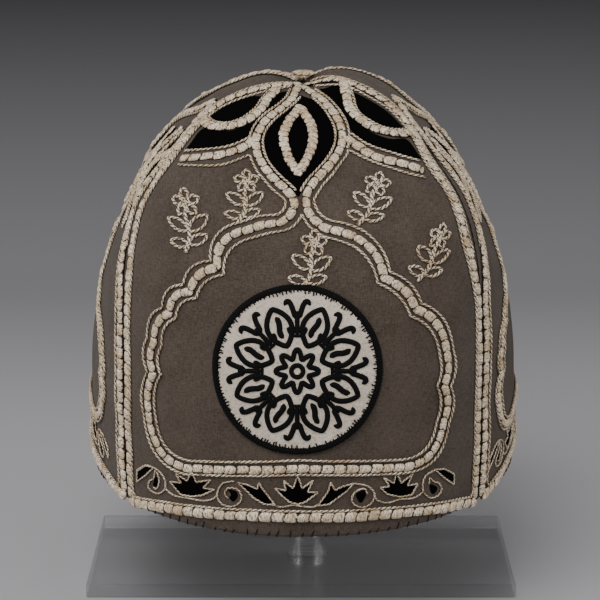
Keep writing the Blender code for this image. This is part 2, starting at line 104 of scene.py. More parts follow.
PANELS = {"front": -90.0, "right": 0.0, "back": 90.0, "left": 180.0}
SIDE_PANELS = ("right", "left")
SIDES = {"right": 1, "left": -1}
PATTERN_ACROSS = -0.9
BORDER_TOP = 26.0
SIDE_RISE = 0.72
SIDE_NARROWER = ((90.0, 115.0), (1.0, 0.86))
RAIL_BOW = 9.0
BOW_FULL_BELOW = 30.0
BOW_GONE_ABOVE = 110.0

# Bands along the seams and hem
HEM_BAND_UP = 8.4
EDGE_CORNER = 2.5
EDGE_TOP = 197.5
SIDE_POINT_FROM = 140.0
SIDE_POINT_TOP = 165.0
SIDE_POINT_DRAWN_IN = 0.92
OUTER_CHAIN_FROM = 104.0
CHAIN_BESIDE = 2.7

# The edge bands stand further in from the seam over the shoulder, where plain felt turns the corner.
# station, inset on a side panel, on the right of the front and back panels, on their left
EDGE_INSETS = np.array((
    (0.0, 2.8, 2.8, 2.8),
    (85.0, 2.8, 2.8, 2.8),
    (98.0, 4.5, 7.0, 2.8),
    (110.0, 6.5, 10.0, 2.8),
    (122.0, 6.5, 10.5, 2.8),
    (134.0, 5.5, 9.0, 2.5),
    (146.0, 4.0, 7.5, 2.3),
    (156.0, 2.8, 5.2, 2.7),
    (166.0, 2.8, 4.0, 3.1),
    (180.0, 2.8, 3.9, 3.5),
    (204.0, 2.8, 3.4, 3.2)))

# The arch band's halves from the middle of its bottom rail to the waist, then round the almond to the
# crown: across (outwards is positive), up, bulge of the arc to the next row
ARCH = {
    "right": ((0.0, 28.4, 0.0), (40.0, 27.6, 5.2), (59.5, 44.2, 2.0), (58.8, 58.0, 1.2), (59.5, 70.0, 3.2),
              (43.5, 88.8, 1.8), (31.0, 101.2, 1.8), (21.9, 115.9, 0.5), (10.8, 119.6, -1.4),
              (2.1, 128.0, 0.0)),
    "left": ((0.0, 28.4, 0.0), (46.0, 26.6, 5.4), (65.2, 46.0, 2.4), (61.0, 62.5, 2.0), (60.0, 74.1, 2.3),
             (51.2, 86.1, 2.5), (41.7, 95.2, 2.5), (31.0, 104.7, 4.0), (20.0, 119.3, 0.5),
             (8.1, 121.9, -1.3), (2.4, 129.4, 0.0))}
ALMOND = {
    "right": ((2.1, 128.0), (2.2, 132.2), (4.8, 136.5), (8.7, 140.6), (12.8, 146.0), (15.4, 152.9),
              (15.3, 161.2), (12.7, 169.9), (8.6, 179.5), (3.4, 188.8), (0.8, 194.0)),
    "left": ((2.4, 129.4), (3.4, 131.6), (5.3, 133.9), (9.5, 137.5), (13.5, 142.2), (16.1, 147.8),
             (16.7, 155.0), (15.0, 161.9), (11.9, 167.9), (6.6, 175.3), (3.4, 181.9), (2.0, 188.0),
             (0.8, 194.0))}

# Chain lines outside and inside the arch band, the same way
CHAIN_OUT = {
    "right": ((0.0, 26.1, 0.0), (41.0, 25.2, 5.8), (62.6, 43.7, 2.2), (62.0, 57.6, 2.0), (62.4, 70.8, 3.4),
              (45.8, 90.6, 2.0), (33.0, 103.2, 1.8), (23.6, 118.7, 0.6), (12.4, 122.4, -1.2),
              (5.4, 128.4, -0.5), (5.6, 131.4, 0.0), (8.4, 135.6, 0.0), (12.0, 139.4, 0.0),
              (16.2, 145.9, 0.3), (17.8, 150.2, 0.0)),
    "left": ((0.0, 26.1, 0.0), (47.2, 24.1, 6.0), (68.4, 46.1, 2.6), (64.6, 62.6, 2.2), (63.6, 75.2, 2.6),
             (54.3, 87.6, 2.7), (44.3, 97.4, 2.7), (33.4, 107.2, 4.2), (21.2, 122.4, 0.6),
             (10.6, 124.8, -1.2), (5.9, 128.9, -0.5), (7.3, 131.4, 0.0), (11.3, 134.6, 0.0),
             (16.0, 140.1, 0.3), (19.0, 148.0, 0.0))}
CHAIN_IN = {
    "right": ((0.0, 31.8, 0.0), (39.0, 30.8, 4.6), (55.9, 44.7, 2.0), (55.0, 58.5, 1.4), (55.8, 69.1, 3.0),
              (41.6, 86.2, 1.9), (28.6, 99.2, 1.8), (19.8, 113.2, 0.3), (9.0, 116.7, -1.2),
              (0.4, 125.2, 0.0)),
    "left": ((0.0, 31.8, 0.0), (44.6, 29.8, 4.8), (61.3, 46.0, 2.2), (57.2, 62.5, 1.9), (56.0, 73.4, 2.2),
             (48.3, 84.6, 2.3), (39.4, 92.9, 2.3), (28.7, 102.3, 3.6), (18.2, 116.3, 0.3),
             (6.9, 119.0, -1.2), (-0.4, 125.2, 0.0))}

# Crown of each panel: middle lines of bands and chain lines, across and up
WINGS = {"right": ((16.9, 156.4), (21.6, 151.5), (27.4, 146.9), (36.5, 143.7), (44.6, 140.0)),
         "left": ((17.3, 155.8), (19.8, 152.4), (25.0, 149.2), (32.9, 146.9), (44.2, 144.0))}
WING_CHAINS = {"right": (((17.8, 150.2), (26.4, 144.8), (36.5, 140.4), (45.4, 137.2)),
                         ((18.5, 158.4), (24.2, 152.7), (33.0, 148.3), (43.4, 143.9))),
               "left": (((19.2, 147.8), (27.8, 143.7), (35.8, 142.5), (45.2, 141.4)),
                        ((18.5, 156.5), (24.9, 152.2), (33.1, 149.8), (44.0, 147.0)))}
LEAF_BANDS = {"right": ((15.0, 187.0), (16.6, 179.4), (17.5, 174.0), (19.5, 168.6), (22.5, 164.1),
                        (27.4, 159.6), (33.6, 157.1), (41.6, 155.0)),
              "left": ((8.6, 187.6), (11.9, 180.6), (14.5, 172.9), (19.1, 165.8), (24.6, 161.7),
                       (30.7, 160.4), (40.6, 159.9))}
ALMOND_RING = ((-0.4, 173.6), (1.4, 169.4), (3.6, 163.6), (4.9, 155.5), (2.9, 147.1), (-0.6, 140.9),
               (-1.1, 139.9), (-1.7, 140.9), (-4.9, 147.1), (-6.8, 155.8), (-4.8, 164.2), (-2.0, 169.8))
ALMOND_RING_WIDTH = 3.9

# Velvet shapes between an outer and an inner edge, which meet at both ends: across, up
VELVET = {
    "crescent_right": (((44.4, 144.8), (39.1, 153.4), (31.1, 155.4), (24.6, 159.6), (19.2, 167.6),
                        (16.2, 175.4), (14.4, 184.6), (7.3, 188.3)),
                       ((44.4, 144.8), (34.1, 148.6), (25.3, 152.6), (20.1, 157.8), (16.7, 164.4),
                        (13.9, 171.9), (10.3, 180.9), (7.3, 188.3))),
    "crescent_left": (((43.1, 148.5), (38.4, 157.3), (29.9, 159.0), (24.0, 159.9), (18.9, 164.8),
                       (15.0, 172.2), (11.6, 182.6), (5.5, 187.6)),
                      ((43.1, 148.5), (33.5, 150.1), (25.0, 152.4), (19.9, 155.7), (17.4, 160.2),
                       (13.6, 168.4), (7.6, 177.1), (5.5, 187.6))),
    "leaf_right": (((39.6, 157.7), (34.0, 166.8), (26.8, 174.0), (18.6, 180.4)),
                   ((39.6, 157.7), (28.1, 160.6), (21.6, 168.3), (18.6, 180.4))),
    "leaf_left": (((37.6, 162.6), (31.0, 171.6), (22.9, 177.8), (13.4, 182.2)),
                  ((37.6, 162.6), (25.0, 163.4), (18.0, 170.3), (13.4, 182.2)))}
ALMOND_VELVET = (((-1.0, 131.8), (-6.2, 136.7), (-11.8, 141.6), (-14.5, 147.8), (-15.2, 154.9),
                  (-13.7, 161.6), (-10.8, 167.4), (-5.2, 174.8), (-0.6, 185.6)),
                 ((-1.0, 131.8), (3.4, 137.7), (7.6, 141.8), (11.5, 146.9), (13.9, 153.4), (13.8, 160.9),
                  (11.2, 169.2), (7.2, 178.7), (-0.6, 185.6)))

# Border above the hem, corners of each motif's outline as stitched: across, up
PALMETTES = (
    ((-44.8, 14.9), (-50.0, 15.2), (-55.5, 20.2), (-49.6, 20.2), (-52.1, 23.9), (-46.6, 21.4),
     (-44.2, 25.2), (-42.3, 21.2), (-35.9, 22.5), (-39.3, 19.0), (-34.3, 18.7), (-39.6, 16.0)),
    ((-1.3, 14.0), (-4.4, 14.9), (-7.3, 17.4), (-9.9, 20.4), (-5.8, 19.6), (-6.5, 23.5), (-3.0, 20.5),
     (-1.2, 25.7), (0.5, 20.6), (4.6, 23.7), (2.6, 19.1), (6.6, 18.9), (1.7, 15.0)),
    ((39.8, 15.3), (34.1, 16.9), (31.2, 19.8), (35.0, 20.1), (32.5, 24.0), (36.9, 21.2), (38.0, 25.9),
     (40.1, 21.1), (45.2, 24.6), (42.9, 19.8), (47.7, 20.3), (45.0, 15.9)))
LEAVES = (
    ((-24.5, 22.2), (-20.8, 21.6), (-16.9, 19.9), (-16.1, 22.5), (-15.1, 20.5), (-12.9, 17.5), (-9.8, 13.4),
     (-14.4, 13.8), (-18.3, 16.2), (-21.8, 19.7)),
    ((20.4, 22.2), (16.0, 21.0), (13.1, 19.6), (11.4, 22.7), (10.4, 19.1), (6.4, 13.4), (10.7, 13.9),
     (14.1, 16.4), (17.5, 18.9)),
    ((-76.0, 17.8), (-75.6, 22.4), (-69.4, 25.4), (-64.0, 25.2), (-70.4, 20.8)),
    ((56.0, 25.3), (61.3, 25.1), (67.2, 22.2), (67.4, 17.8), (62.0, 20.8)))
VINES = (
    ((-76.1, 22.6), (-69.4, 25.5), (-63.9, 25.1), (-59.7, 22.9), (-57.7, 19.9), (-57.6, 16.8),
     (-53.3, 14.5), (-47.0, 14.1), (-38.8, 13.8), (-34.2, 15.4), (-32.8, 18.6)),
    ((-11.2, 14.6), (-9.0, 12.9), (-6.1, 12.9), (-3.2, 13.6), (-0.4, 13.3), (4.4, 12.9), (6.8, 14.0)),
    ((28.6, 16.9), (30.2, 14.5), (34.6, 13.3), (39.9, 14.4), (45.6, 14.4), (49.8, 16.2), (50.4, 18.4)))
CURLS = (
    ((-57.7, 19.9), (-58.3, 16.7), (-61.6, 14.4), (-65.4, 14.5), (-68.3, 16.2), (-67.4, 19.0),
     (-64.6, 20.5), (-63.2, 24.1), (-61.4, 21.1), (-61.7, 18.4), (-63.2, 16.2), (-65.4, 16.6)),
    ((-25.8, 22.9), (-31.0, 21.3), (-33.2, 16.4), (-31.1, 12.9), (-27.0, 12.1), (-23.6, 14.4),
     (-23.3, 17.6), (-25.3, 19.7), (-28.6, 19.6), (-30.0, 17.4), (-28.6, 15.2)),
    ((20.4, 22.2), (26.0, 20.8), (28.8, 17.2), (27.4, 13.5), (23.8, 12.1), (20.2, 13.8), (19.8, 16.8),
     (21.6, 19.0), (24.6, 19.8), (26.0, 17.4)),
    ((56.4, 25.3), (51.6, 23.4), (50.0, 19.6), (50.9, 16.1), (54.2, 13.6), (58.2, 14.1), (60.1, 16.6),
     (58.6, 19.2), (55.6, 20.4), (53.6, 22.1), (53.3, 19.4)))
CURL_DROPS = (
    ((-63.4, 21.4), (-62.3, 19.6), (-62.6, 17.8), (-64.2, 16.9), (-65.6, 17.6), (-64.8, 19.2)),
    ((-28.6, 18.9), (-25.4, 18.4), (-24.9, 16.2), (-26.6, 14.2), (-28.2, 15.6), (-27.4, 17.2)),
    ((21.6, 17.8), (24.8, 19.0), (25.2, 16.8), (23.4, 14.0), (21.9, 15.6)),
    ((54.2, 19.2), (57.6, 17.8), (57.6, 16.2), (55.8, 14.9), (54.4, 16.4)))

# Sprigs: where each stands (across, up), its size and its turn in degrees
SPRIGS = ((-41.2, 120.5, 1.12, 8.0), (-21.0, 130.6, 0.95, 0.0), (3.6, 107.0, 1.1, -4.0),
          (25.7, 129.6, 0.98, -12.0), (49.0, 107.9, 1.05, -16.0))

# One sprig, millimetres from its middle: the stem, leaves as foot, length, direction in degrees and half
# width, and the blossom's middle with its petals' reach and half width
SPRIG_STEM = ((-2.6, -9.6), (-0.6, -6.0), (0.4, -2.0), (0.1, 2.2), (0.6, 5.0))
SPRIG_LEAVES = ((-0.8, -6.6, 7.0, 20.0, 1.5), (-0.9, -6.8, 6.4, 168.0, 1.5), (0.3, -2.4, 8.2, 36.0, 1.8),
                (0.2, -2.0, 7.8, 148.0, 1.8))
SPRIG_BLOSSOM = (0.8, 6.9)
SPRIG_PETALS = 5
SPRIG_PETAL_FROM = 1.0
SPRIG_PETAL_REACH = 4.6
SPRIG_PETAL_HALF = 1.3
SPRIG_HEART = 0.45
SPRIG_CORD = 0.62
SPRIG_STEM_CORD = 0.8
SPRIG_HEART_CORD = 0.6

# Roundel on the front panel
ROUNDEL = (-1.4, 66.7)
ROUNDEL_RADIUS = 32.3
ROUNDEL_CLOTH = 30.9
ROUNDEL_FOLD = 8
CLOTH_THICKNESS = 1.0
STROKE_HEIGHT = 0.75
EDGE_STITCH_PITCH = 1.25

HEM_STITCH_PITCH = 4.4
HEM_STITCH_RADIUS = 0.26
KNOT_HALF = (4.4, 4.4, 1.2)

# Couched pads: how far their joints slant and bow across the band, how their pitch drifts along it, how
# square their swelling is, the wisps of thread on them and each pad's shift to a side
JOINT_SLANT = 0.35
JOINT_BOW = 0.6
PAD_DRIFT = 0.35
PAD_DRIFT_LENGTH = 7.0
PAD_SQUARENESS = 4.5
WISP_HEIGHT = 0.09
WISP_LENGTH = 1.5
PAD_SHIFT = 0.3

# Distance between the points along a line in millimetres, on the front panel and on the others
BAND_STEPS = (0.42, 0.6)
CHAIN_STEPS = (0.34, 0.5)

# Stage, in metres: each light's name, power setting, size and place, the point they aim at and the strength
# of the light from all round, then the camera, with its turn from straight down in degrees
LIGHTS = (("key_light", "key_power", 0.9, (-0.35, -1.0, 1.25)),
          ("left_light", "side_power", 0.8, (-1.2, -0.5, 0.5)),
          ("right_light", "side_power", 0.8, (1.2, -0.5, 0.6)))
LIGHTS_AIM = (0.0, -0.02, 0.13)
AMBIENT = 0.35
CAMERA_LENS = 147.1
CAMERA_SHIFT = -0.0007
CAMERA_PLACE = (-0.0002, -1.0243, 0.3432)
CAMERA_TURN = 77.56


def srgb(code):
    """A hex colour as linear red, green, blue and full alpha."""
    values = np.array([int(code[i:i + 2], 16) for i in (1, 3, 5)]) / 255.0
    linear = np.where(values <= 0.04045, values / 12.92, ((values + 0.055) / 1.055) ** 2.4)
    return (*linear.tolist(), 1.0)


class CapSettings(bpy.types.PropertyGroup):
    """Sizes and colours of the cap's own pieces."""
    band_width: bpy.props.FloatProperty(
        name="Band width", description="Width of a couched band", default=0.0041, min=0.001,
        unit="LENGTH")
    band_height: bpy.props.FloatProperty(
        name="Band height", description="Height of the couched pads", default=0.0015, min=0.0002,
        unit="LENGTH")
    pad_pitch: bpy.props.FloatProperty(
        name="Pad pitch", description="Length of one couched pad along its band", default=0.0047,
        min=0.001, unit="LENGTH")
    chain_radius: bpy.props.FloatProperty(
        name="Chain radius", description="Half the width of a chain line", default=0.0005, min=0.0001,
        unit="LENGTH")
    chain_pitch: bpy.props.FloatProperty(
        name="Chain pitch", description="Length of one chain stitch", default=0.0021, min=0.0005,
        unit="LENGTH")
    felt_dark: bpy.props.FloatVectorProperty(
        name="Felt, dark", description="Darker fibres of the felt", subtype="COLOR", size=4,
        default=srgb("#30271f"), min=0.0, max=1.0)
    felt_light: bpy.props.FloatVectorProperty(
        name="Felt, light", description="Lighter fibres of the felt", subtype="COLOR", size=4,
        default=srgb("#5a4f46"), min=0.0, max=1.0)
    thread_light: bpy.props.FloatVectorProperty(
        name="Thread, light", description="Bright face of the silver thread", subtype="COLOR", size=4,
        default=srgb("#fcecd2"), min=0.0, max=1.0)
    thread_warm: bpy.props.FloatVectorProperty(
        name="Thread, tarnished", description="Tarnished silver thread", subtype="COLOR", size=4,
        default=srgb("#d2b996"), min=0.0, max=1.0)
    velvet: bpy.props.FloatVectorProperty(
        name="Velvet", description="Black pile", subtype="COLOR", size=4, default=srgb("#040404"),
        min=0.0, max=1.0)
    cloth: bpy.props.FloatVectorProperty(
        name="Roundel cloth", description="Undyed cloth of the roundel", subtype="COLOR", size=4,
        default=srgb("#d8cdbf"), min=0.0, max=1.0)


class StageSettings(bpy.types.PropertyGroup):
    """Light and background."""
    key_power: bpy.props.FloatProperty(
        name="Key power", description="Power of the large light above the camera, in watts",
        default=16.0, min=0.0)
    side_power: bpy.props.FloatProperty(
        name="Side power", description="Power of each light at the sides, in watts", default=7.0, min=0.0)
    floor_colour: bpy.props.FloatVectorProperty(
        name="Floor", description="Pale floor", subtype="COLOR", size=4, default=srgb("#b2b1b4"),
        min=0.0, max=1.0)
    backdrop_shaded_colour: bpy.props.FloatVectorProperty(
        name="Backdrop", description="Top of the backdrop", subtype="COLOR", size=4,
        default=srgb("#2f2d2f"), min=0.0, max=1.0)


def smooth(at, stations, values):
    """Values on the smooth curve through the rows: cubic pieces with the rows' mean slopes."""
    row = np.clip(np.searchsorted(stations, at, side="right") - 1, 0, len(stations) - 2)
    step = stations[row + 1] - stations[row]
    t = (at - stations[row]) / step
    slope = np.gradient(values, stations)
    start = (1 + 2 * t) * (1 - t) ** 2 * values[row] + t * (1 - t) ** 2 * step * slope[row]
    end = t * t * (3 - 2 * t) * values[row + 1] + t * t * (t - 1) * step * slope[row + 1]
    return start + end


STATIONS = np.concatenate(((0.0,), np.cumsum(np.hypot(*np.diff(SECTIONS[:, :2], axis=0).T))))
CROWN = STATIONS[-1]


def section(station):
    """The section table's columns at the given stations."""
    return [smooth(np.clip(station, 0.0, CROWN), STATIONS, column) for column in SECTIONS.T]


def bare_surface(panel, across, station):
    """Points of the cap before its seam grooves: a superellipse at the station's height, turned about
    the axis by the fraction across times the panel's half angle. With the half width there."""
    height, width, depth, square, _, _, seam = section(station)
    width, depth = np.maximum(width, 1e-3), np.maximum(depth, 1e-3)
    span = np.radians(seam if panel in SIDE_PANELS else 90.0 - seam)
    turn = np.radians(PANELS[panel]) + across * span
    sum_of_powers = np.abs(np.cos(turn) / width) ** square + np.abs(np.sin(turn) / depth) ** square
    reach = sum_of_powers ** (-1 / square)
    points = np.stack((reach * np.cos(turn), reach * np.sin(turn), height), -1)
    return points, reach * span, np.degrees(turn)


def panel_half_width(panel, station):
    """Length across a panel from its middle to its seam at the given stations."""
    station = np.asarray(station, float)
    return bare_surface(panel, np.zeros_like(station), station)[1]


def outward(panel, across, station):
    """Unit normals of the cap's surface: across its two steepest differences."""
    middle = np.clip(station, 1.0, CROWN - 1.0)
    along = bare_surface(panel, across, middle + 0.5)[0] - bare_surface(panel, across, middle - 0.5)[0]
    sideways = bare_surface(panel, across + 0.02, middle)[0] - bare_surface(panel, across - 0.02, middle)[0]
    normal = np.cross(sideways, along)
    return normal / np.linalg.norm(normal, axis=-1, keepdims=True)


def surface(panel, across, station, lift=0.0):
    """Points on the cap, lifted off its cloth: the sections, plus swellings, less the seam grooves, plus
    a slight unevenness of the felt, which is a sum of slow waves."""
    across, station = np.broadcast_arrays(np.asarray(across, float), np.asarray(station, float))
    points, half, turn = bare_surface(panel, across, station)
    groove_depth, groove_width = section(station)[4:6]
    to_seam = (1 - np.abs(across)) * half
    rise = lift - groove_depth * np.exp(-(to_seam / groove_width) ** 2)
    for direction, middle, height, spread, length in SWELLINGS:
        away = (turn - direction + 180.0) % 360.0 - 180.0
        rise = rise + height * np.exp(-(away / spread) ** 2 - ((station - middle) / length) ** 2)
    x, y, z = np.moveaxis(points, -1, 0)
    for height, along_x, along_y, along_z in WAVES:
        rise = rise + height * np.sin(x / along_x + z / 14.0) * np.sin(y / along_y - z / along_z)
    return points + np.asarray(rise)[..., None] * outward(panel, across, station)


def placed(points):
    """The cap's frame to the part's frame: tilted forwards, lifted onto the stand, in metres."""
    x, y, z = np.moveaxis(np.asarray(points, float), -1, 0)
    tilt = math.radians(TILT)
    back = POST_Y + y * math.cos(tilt) - z * math.sin(tilt)
    up = RIM_HEIGHT + y * math.sin(tilt) + z * math.cos(tilt)
    return np.stack((CAP_X + x, back, up), -1) * MM


def turned(normals):
    """Directions in the cap's frame to the part's frame."""
    x, y, z = np.moveaxis(normals, -1, 0)
    tilt = math.radians(TILT)
    back = y * math.cos(tilt) - z * math.sin(tilt)
    up = y * math.sin(tilt) + z * math.cos(tilt)
    return np.stack((x, back, up), -1)


def bow(station):
    """How far the straight rails sink towards the seams, at each station."""
    return RAIL_BOW * np.clip((BOW_GONE_ABOVE - station) / (BOW_GONE_ABOVE - BOW_FULL_BELOW), 0.0, 1.0)


def fitted(panel, flat):
    """Flat embroidery coordinates (across, up) to the fraction across a panel and the station up it."""
    across, up = np.moveaxis(np.asarray(flat, float), -1, 0)
    fraction = (across + PATTERN_ACROSS) / panel_half_width("front", up)
    sunk = bow(up)
    if panel in SIDE_PANELS:
        fraction = fraction * np.interp(up, *SIDE_NARROWER)
        up = np.where(up > BORDER_TOP, BORDER_TOP + (up - BORDER_TOP) * SIDE_RISE, up)
    return np.stack((fraction, up - sunk * fraction ** 2), -1)


def arcs(rows, step=0.5):
    """Points along arcs between the rows (across, up, bulge), a step apart."""
    points = []
    for (x0, y0, bulge), (x1, y1, _) in zip(rows, rows[1:]):
        chord = math.hypot(x1 - x0, y1 - y0)
        count = max(2, round(chord / step))
        t = np.arange(count) / count
        sag = 4 * bulge * t * (1 - t) / chord
        across, up = x0 + (x1 - x0) * t + (y1 - y0) * sag, y0 + (y1 - y0) * t - (x1 - x0) * sag
        points.append(np.stack((across, up), -1))
    return np.concatenate(points + [np.array([rows[-1][:2]])])


def through(points, closed=False, per=10):
    """A smooth curve through the points: cubic pieces whose slope at a point is half the step between
    its neighbours."""
    points = np.asarray(points, float)
    if closed:
        slope = (np.roll(points, -1, 0) - np.roll(points, 1, 0)) / 2
        start, end, s0, s1 = points, np.roll(points, -1, 0), slope, np.roll(slope, -1, 0)
    else:
        slope = np.gradient(points, axis=0)
        start, end, s0, s1 = points[:-1], points[1:], slope[:-1], slope[1:]
    t = (np.arange(per) / per)[None, :, None]
    curve = ((1 + 2 * t) * (1 - t) ** 2 * start[:, None] + t * (1 - t) ** 2 * s0[:, None]
             + t * t * (3 - 2 * t) * end[:, None] + t * t * (t - 1) * s1[:, None]).reshape(-1, 2)
    return curve if closed else np.concatenate((curve, points[-1:]))


def even(points, step, closed=False):
    """The line taken again at equal steps of its own length."""
    points = np.asarray(points, float)
    if closed:
        points = np.concatenate((points, points[:1]))
    length = np.concatenate(((0.0,), np.cumsum(np.linalg.norm(np.diff(points, axis=0), axis=-1))))
    at = np.linspace(0.0, length[-1], max(3, round(length[-1] / step)) + 1)
    taken = np.stack([np.interp(at, length, column) for column in points.T], -1)
    return taken[:-1] if closed else taken


def spun(points, degrees):
    """Flat points turned about the origin."""
    turn = math.radians(degrees)
    return points @ np.array(((math.cos(turn), math.sin(turn)), (-math.sin(turn), math.cos(turn))))


class Line:
    """A line lying on a panel, at equal steps: its places, normals and sideways directions in the part's
    frame, its length at each point in millimetres, and whether it closes on itself."""

    def __init__(self, panel, cloth, step, closed=False, beside=0.0):
        there = surface(panel, *np.moveaxis(cloth, -1, 0))
        joined = np.concatenate((there, cloth), -1)
        if closed:
            joined = np.concatenate((joined, joined[:1]))
        steps = np.linalg.norm(np.diff(joined[:, :3], axis=0), axis=-1)
        length = np.concatenate(((0.0,), np.cumsum(steps)))
        at = np.linspace(0.0, length[-1], max(3, round(length[-1] / step)) + 1)
        fraction, station = (np.interp(at, length, joined[:, i]) for i in (3, 4))
        if closed:
            at, fraction, station = at[:-1], fraction[:-1], station[:-1]
        self.closed, self.length, self.total = closed, at, length[-1]
        self.places = placed(surface(panel, fraction, station))
        self.normals = turned(outward(panel, fraction, station))
        if closed:
            along = np.roll(self.places, -1, 0) - np.roll(self.places, 1, 0)
        else:
            along = np.gradient(self.places, axis=0)
        side = np.cross(along, self.normals)
        self.sides = side / np.linalg.norm(side, axis=-1, keepdims=True)
        self.places = self.places + self.sides * beside * MM


def drawn(panel, flat, step, closed=False, beside=0.0):
    """A line on a panel from its flat embroidery coordinates."""
    return Line(panel, fitted(panel, flat), step, closed, beside)


def rings(line, sideways, upwards, shade):
    """A profile carried along a line. sideways, upwards (mm) and shade hold a row for each point of the
    line and a column for each point of the profile, which closes on itself. Both ends of an open line
    are drawn in to a point."""
    vertices = (line.places[:, None] + line.sides[:, None] * sideways[..., None] * MM
                + line.normals[:, None] * upwards[..., None] * MM)
    count, around = sideways.shape
    if not line.closed:
        for end in (0, -1):
            vertices[end] = vertices[end].mean(0)
    index = np.arange(count * around).reshape(count, around)
    here = index if line.closed else index[:-1]
    there = np.roll(index, -1, 0) if line.closed else index[1:]
    quads = np.stack((here, there, np.roll(there, -1, 1), np.roll(here, -1, 1)), -1).reshape(-1, 4)
    u = np.broadcast_to(line.length[:, None], sideways.shape) / UV_MM
    v = np.broadcast_to(np.linspace(0.0, 1.0, around)[None], sideways.shape)
    return vertices.reshape(-1, 3), quads, np.stack((u, v), -1).reshape(-1, 2), shade.reshape(-1)


def chance(index, salt):
    """A repeatable number from 0 to 1 for each index: the fraction of a large sine."""
    return np.modf(np.abs(np.sin(index * 12.9898 + salt * 78.233 + 1.0) * 43758.5453))[0]


def couched(line, width, height, pitch, lift=0.15, salt=0.0):
    """Couched pads: half an oval whose height and width swell and fall once a pitch, with bowed joints
    between the pads, each pad with its own height, width and shift."""
    across = np.sin(np.linspace(-1.0, 1.0, 11) * math.pi / 2)[None]
    along = line.length[:, None]
    drift = PAD_DRIFT * np.sin(along / PAD_DRIFT_LENGTH + salt)
    turns = (along + JOINT_SLANT * across - JOINT_BOW * across ** 2 + drift) / pitch
    pad, t = np.floor(turns), turns % 1.0
    swell = 1 - np.abs(2 * t - 1) ** PAD_SQUARENESS
    half = width / 2 * (0.86 + 0.14 * swell) * (0.9 + 0.2 * chance(pad, salt))
    rise = height * (0.4 + 0.6 * swell ** 0.8) * (0.8 + 0.36 * chance(pad, salt + 1.0))
    rise = rise + WISP_HEIGHT * np.sin(8.0 * across + 2 * math.pi * along / WISP_LENGTH)
    shift = PAD_SHIFT * (chance(pad, salt + 2.0) - 0.5)
    dome = np.sqrt(np.clip(1 - np.abs(across) ** 2.6, 0.0, 1.0))
    # Painted shade: darkest where the pads meet and down the sides of each pad
    shade = np.clip(0.05 + 0.95 * swell ** 0.7 * (0.3 + 0.7 * dome), 0.0, 1.0)
    return rings(line, across * half + shift, lift + rise * dome, shade)


def chain(line, radius, pitch, lift=0.2, around=6, salt=0.0):
    """A chain line: a cord of two strands, so that its round section is pinched on two sides, and the pinch
    turns half way round in every stitch."""
    turn = np.linspace(0.0, 2 * math.pi, around, endpoint=False)[None]
    phase = math.pi * line.length[:, None] / pitch + salt
    lobe = np.abs(np.cos(turn - phase))
    reach = radius * (0.66 + 0.42 * lobe) * (1.0 + 0.12 * np.sin(line.length[:, None] / 2.9 + salt))
    # Painted shade: darker in the pinch between the two strands
    shade = np.clip(lobe * 1.25 - 0.1, 0.0, 1.0)
    return rings(line, reach * np.cos(turn), lift + radius * 0.6 + reach * np.sin(turn), shade)


def grid_quads(rows, columns):
    """The point numbers of a grid, and the four-sided faces between neighbouring ones."""
    index = np.arange(rows * columns).reshape(rows, columns)
    corners = (index[:-1, :-1], index[:-1, 1:], index[1:, 1:], index[1:, :-1])
    return index, np.stack(corners, -1).reshape(-1, 4)


def sheet_between(outer, inner, flat):
    """A closed sheet between two grids of points (rows, columns, 3), which need not be apart at the rim,
    with the flat places in millimetres of its grid."""
    index, quads = grid_quads(*outer.shape[:2])
    count = index.size
    rim = np.concatenate((index[0, :-1], index[:-1, -1], index[-1, :0:-1], index[:0:-1, 0]))
    after = np.roll(rim, -1)
    walls = np.stack((rim, rim + count, after + count, after), -1)
    vertices = np.concatenate((outer.reshape(-1, 3), inner.reshape(-1, 3)))
    uv = np.tile((np.asarray(flat) / UV_MM).reshape(-1, 2), (2, 1))
    return vertices, np.concatenate((quads, quads[:, ::-1] + count, walls)), uv, np.ones(2 * count)


def make_piece(name, bundles, material, replaced=()):
    """One object from bundles of (vertices, quads, UV for each vertex, shade for each vertex): coinciding
    points are merged, faces turned outwards, shading smooth."""
    start, vertices, quads, uvs, shades = 0, [], [], [], []
    for points, faces, uv, shade in bundles:
        vertices.append(points)
        quads.append(faces + start)
        uvs.append(uv)
        shades.append(shade)
        start += len(points)
    vertices, quads, uvs, shades = (np.concatenate(part) for part in (vertices, quads, uvs, shades))
    mesh = bpy.data.meshes.new(name)
    mesh.vertices.add(len(vertices))
    mesh.vertices.foreach_set("co", vertices.astype(np.float32).ravel())
    mesh.loops.add(quads.size)
    mesh.loops.foreach_set("vertex_index", quads.ravel())
    mesh.polygons.add(len(quads))
    mesh.polygons.foreach_set("loop_start", np.arange(len(quads)) * 4)
    mesh.polygons.foreach_set("loop_total", np.full(len(quads), 4))
    mesh.uv_layers.new(name="cloth").data.foreach_set("uv", uvs[quads.ravel()].astype(np.float32).ravel())
    mesh.attributes.new("shade", "FLOAT", "POINT").data.foreach_set("value", shades.astype(np.float32))
    mesh.update(calc_edges=True)
    shape = bmesh.new()
    shape.from_mesh(mesh)
    bmesh.ops.remove_doubles(shape, verts=shape.verts, dist=0.002 * MM)
    bmesh.ops.recalc_face_normals(shape, faces=shape.faces)
    shape.to_mesh(mesh)
    shape.free()
    mesh.shade_smooth()
    mesh.materials.append(material)
    piece = bpy.data.objects.new(name, mesh)
    bpy.context.scene.collection.objects.link(piece)
    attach(piece, "root")
    if replaced:
        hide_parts(*replaced)
    return piece


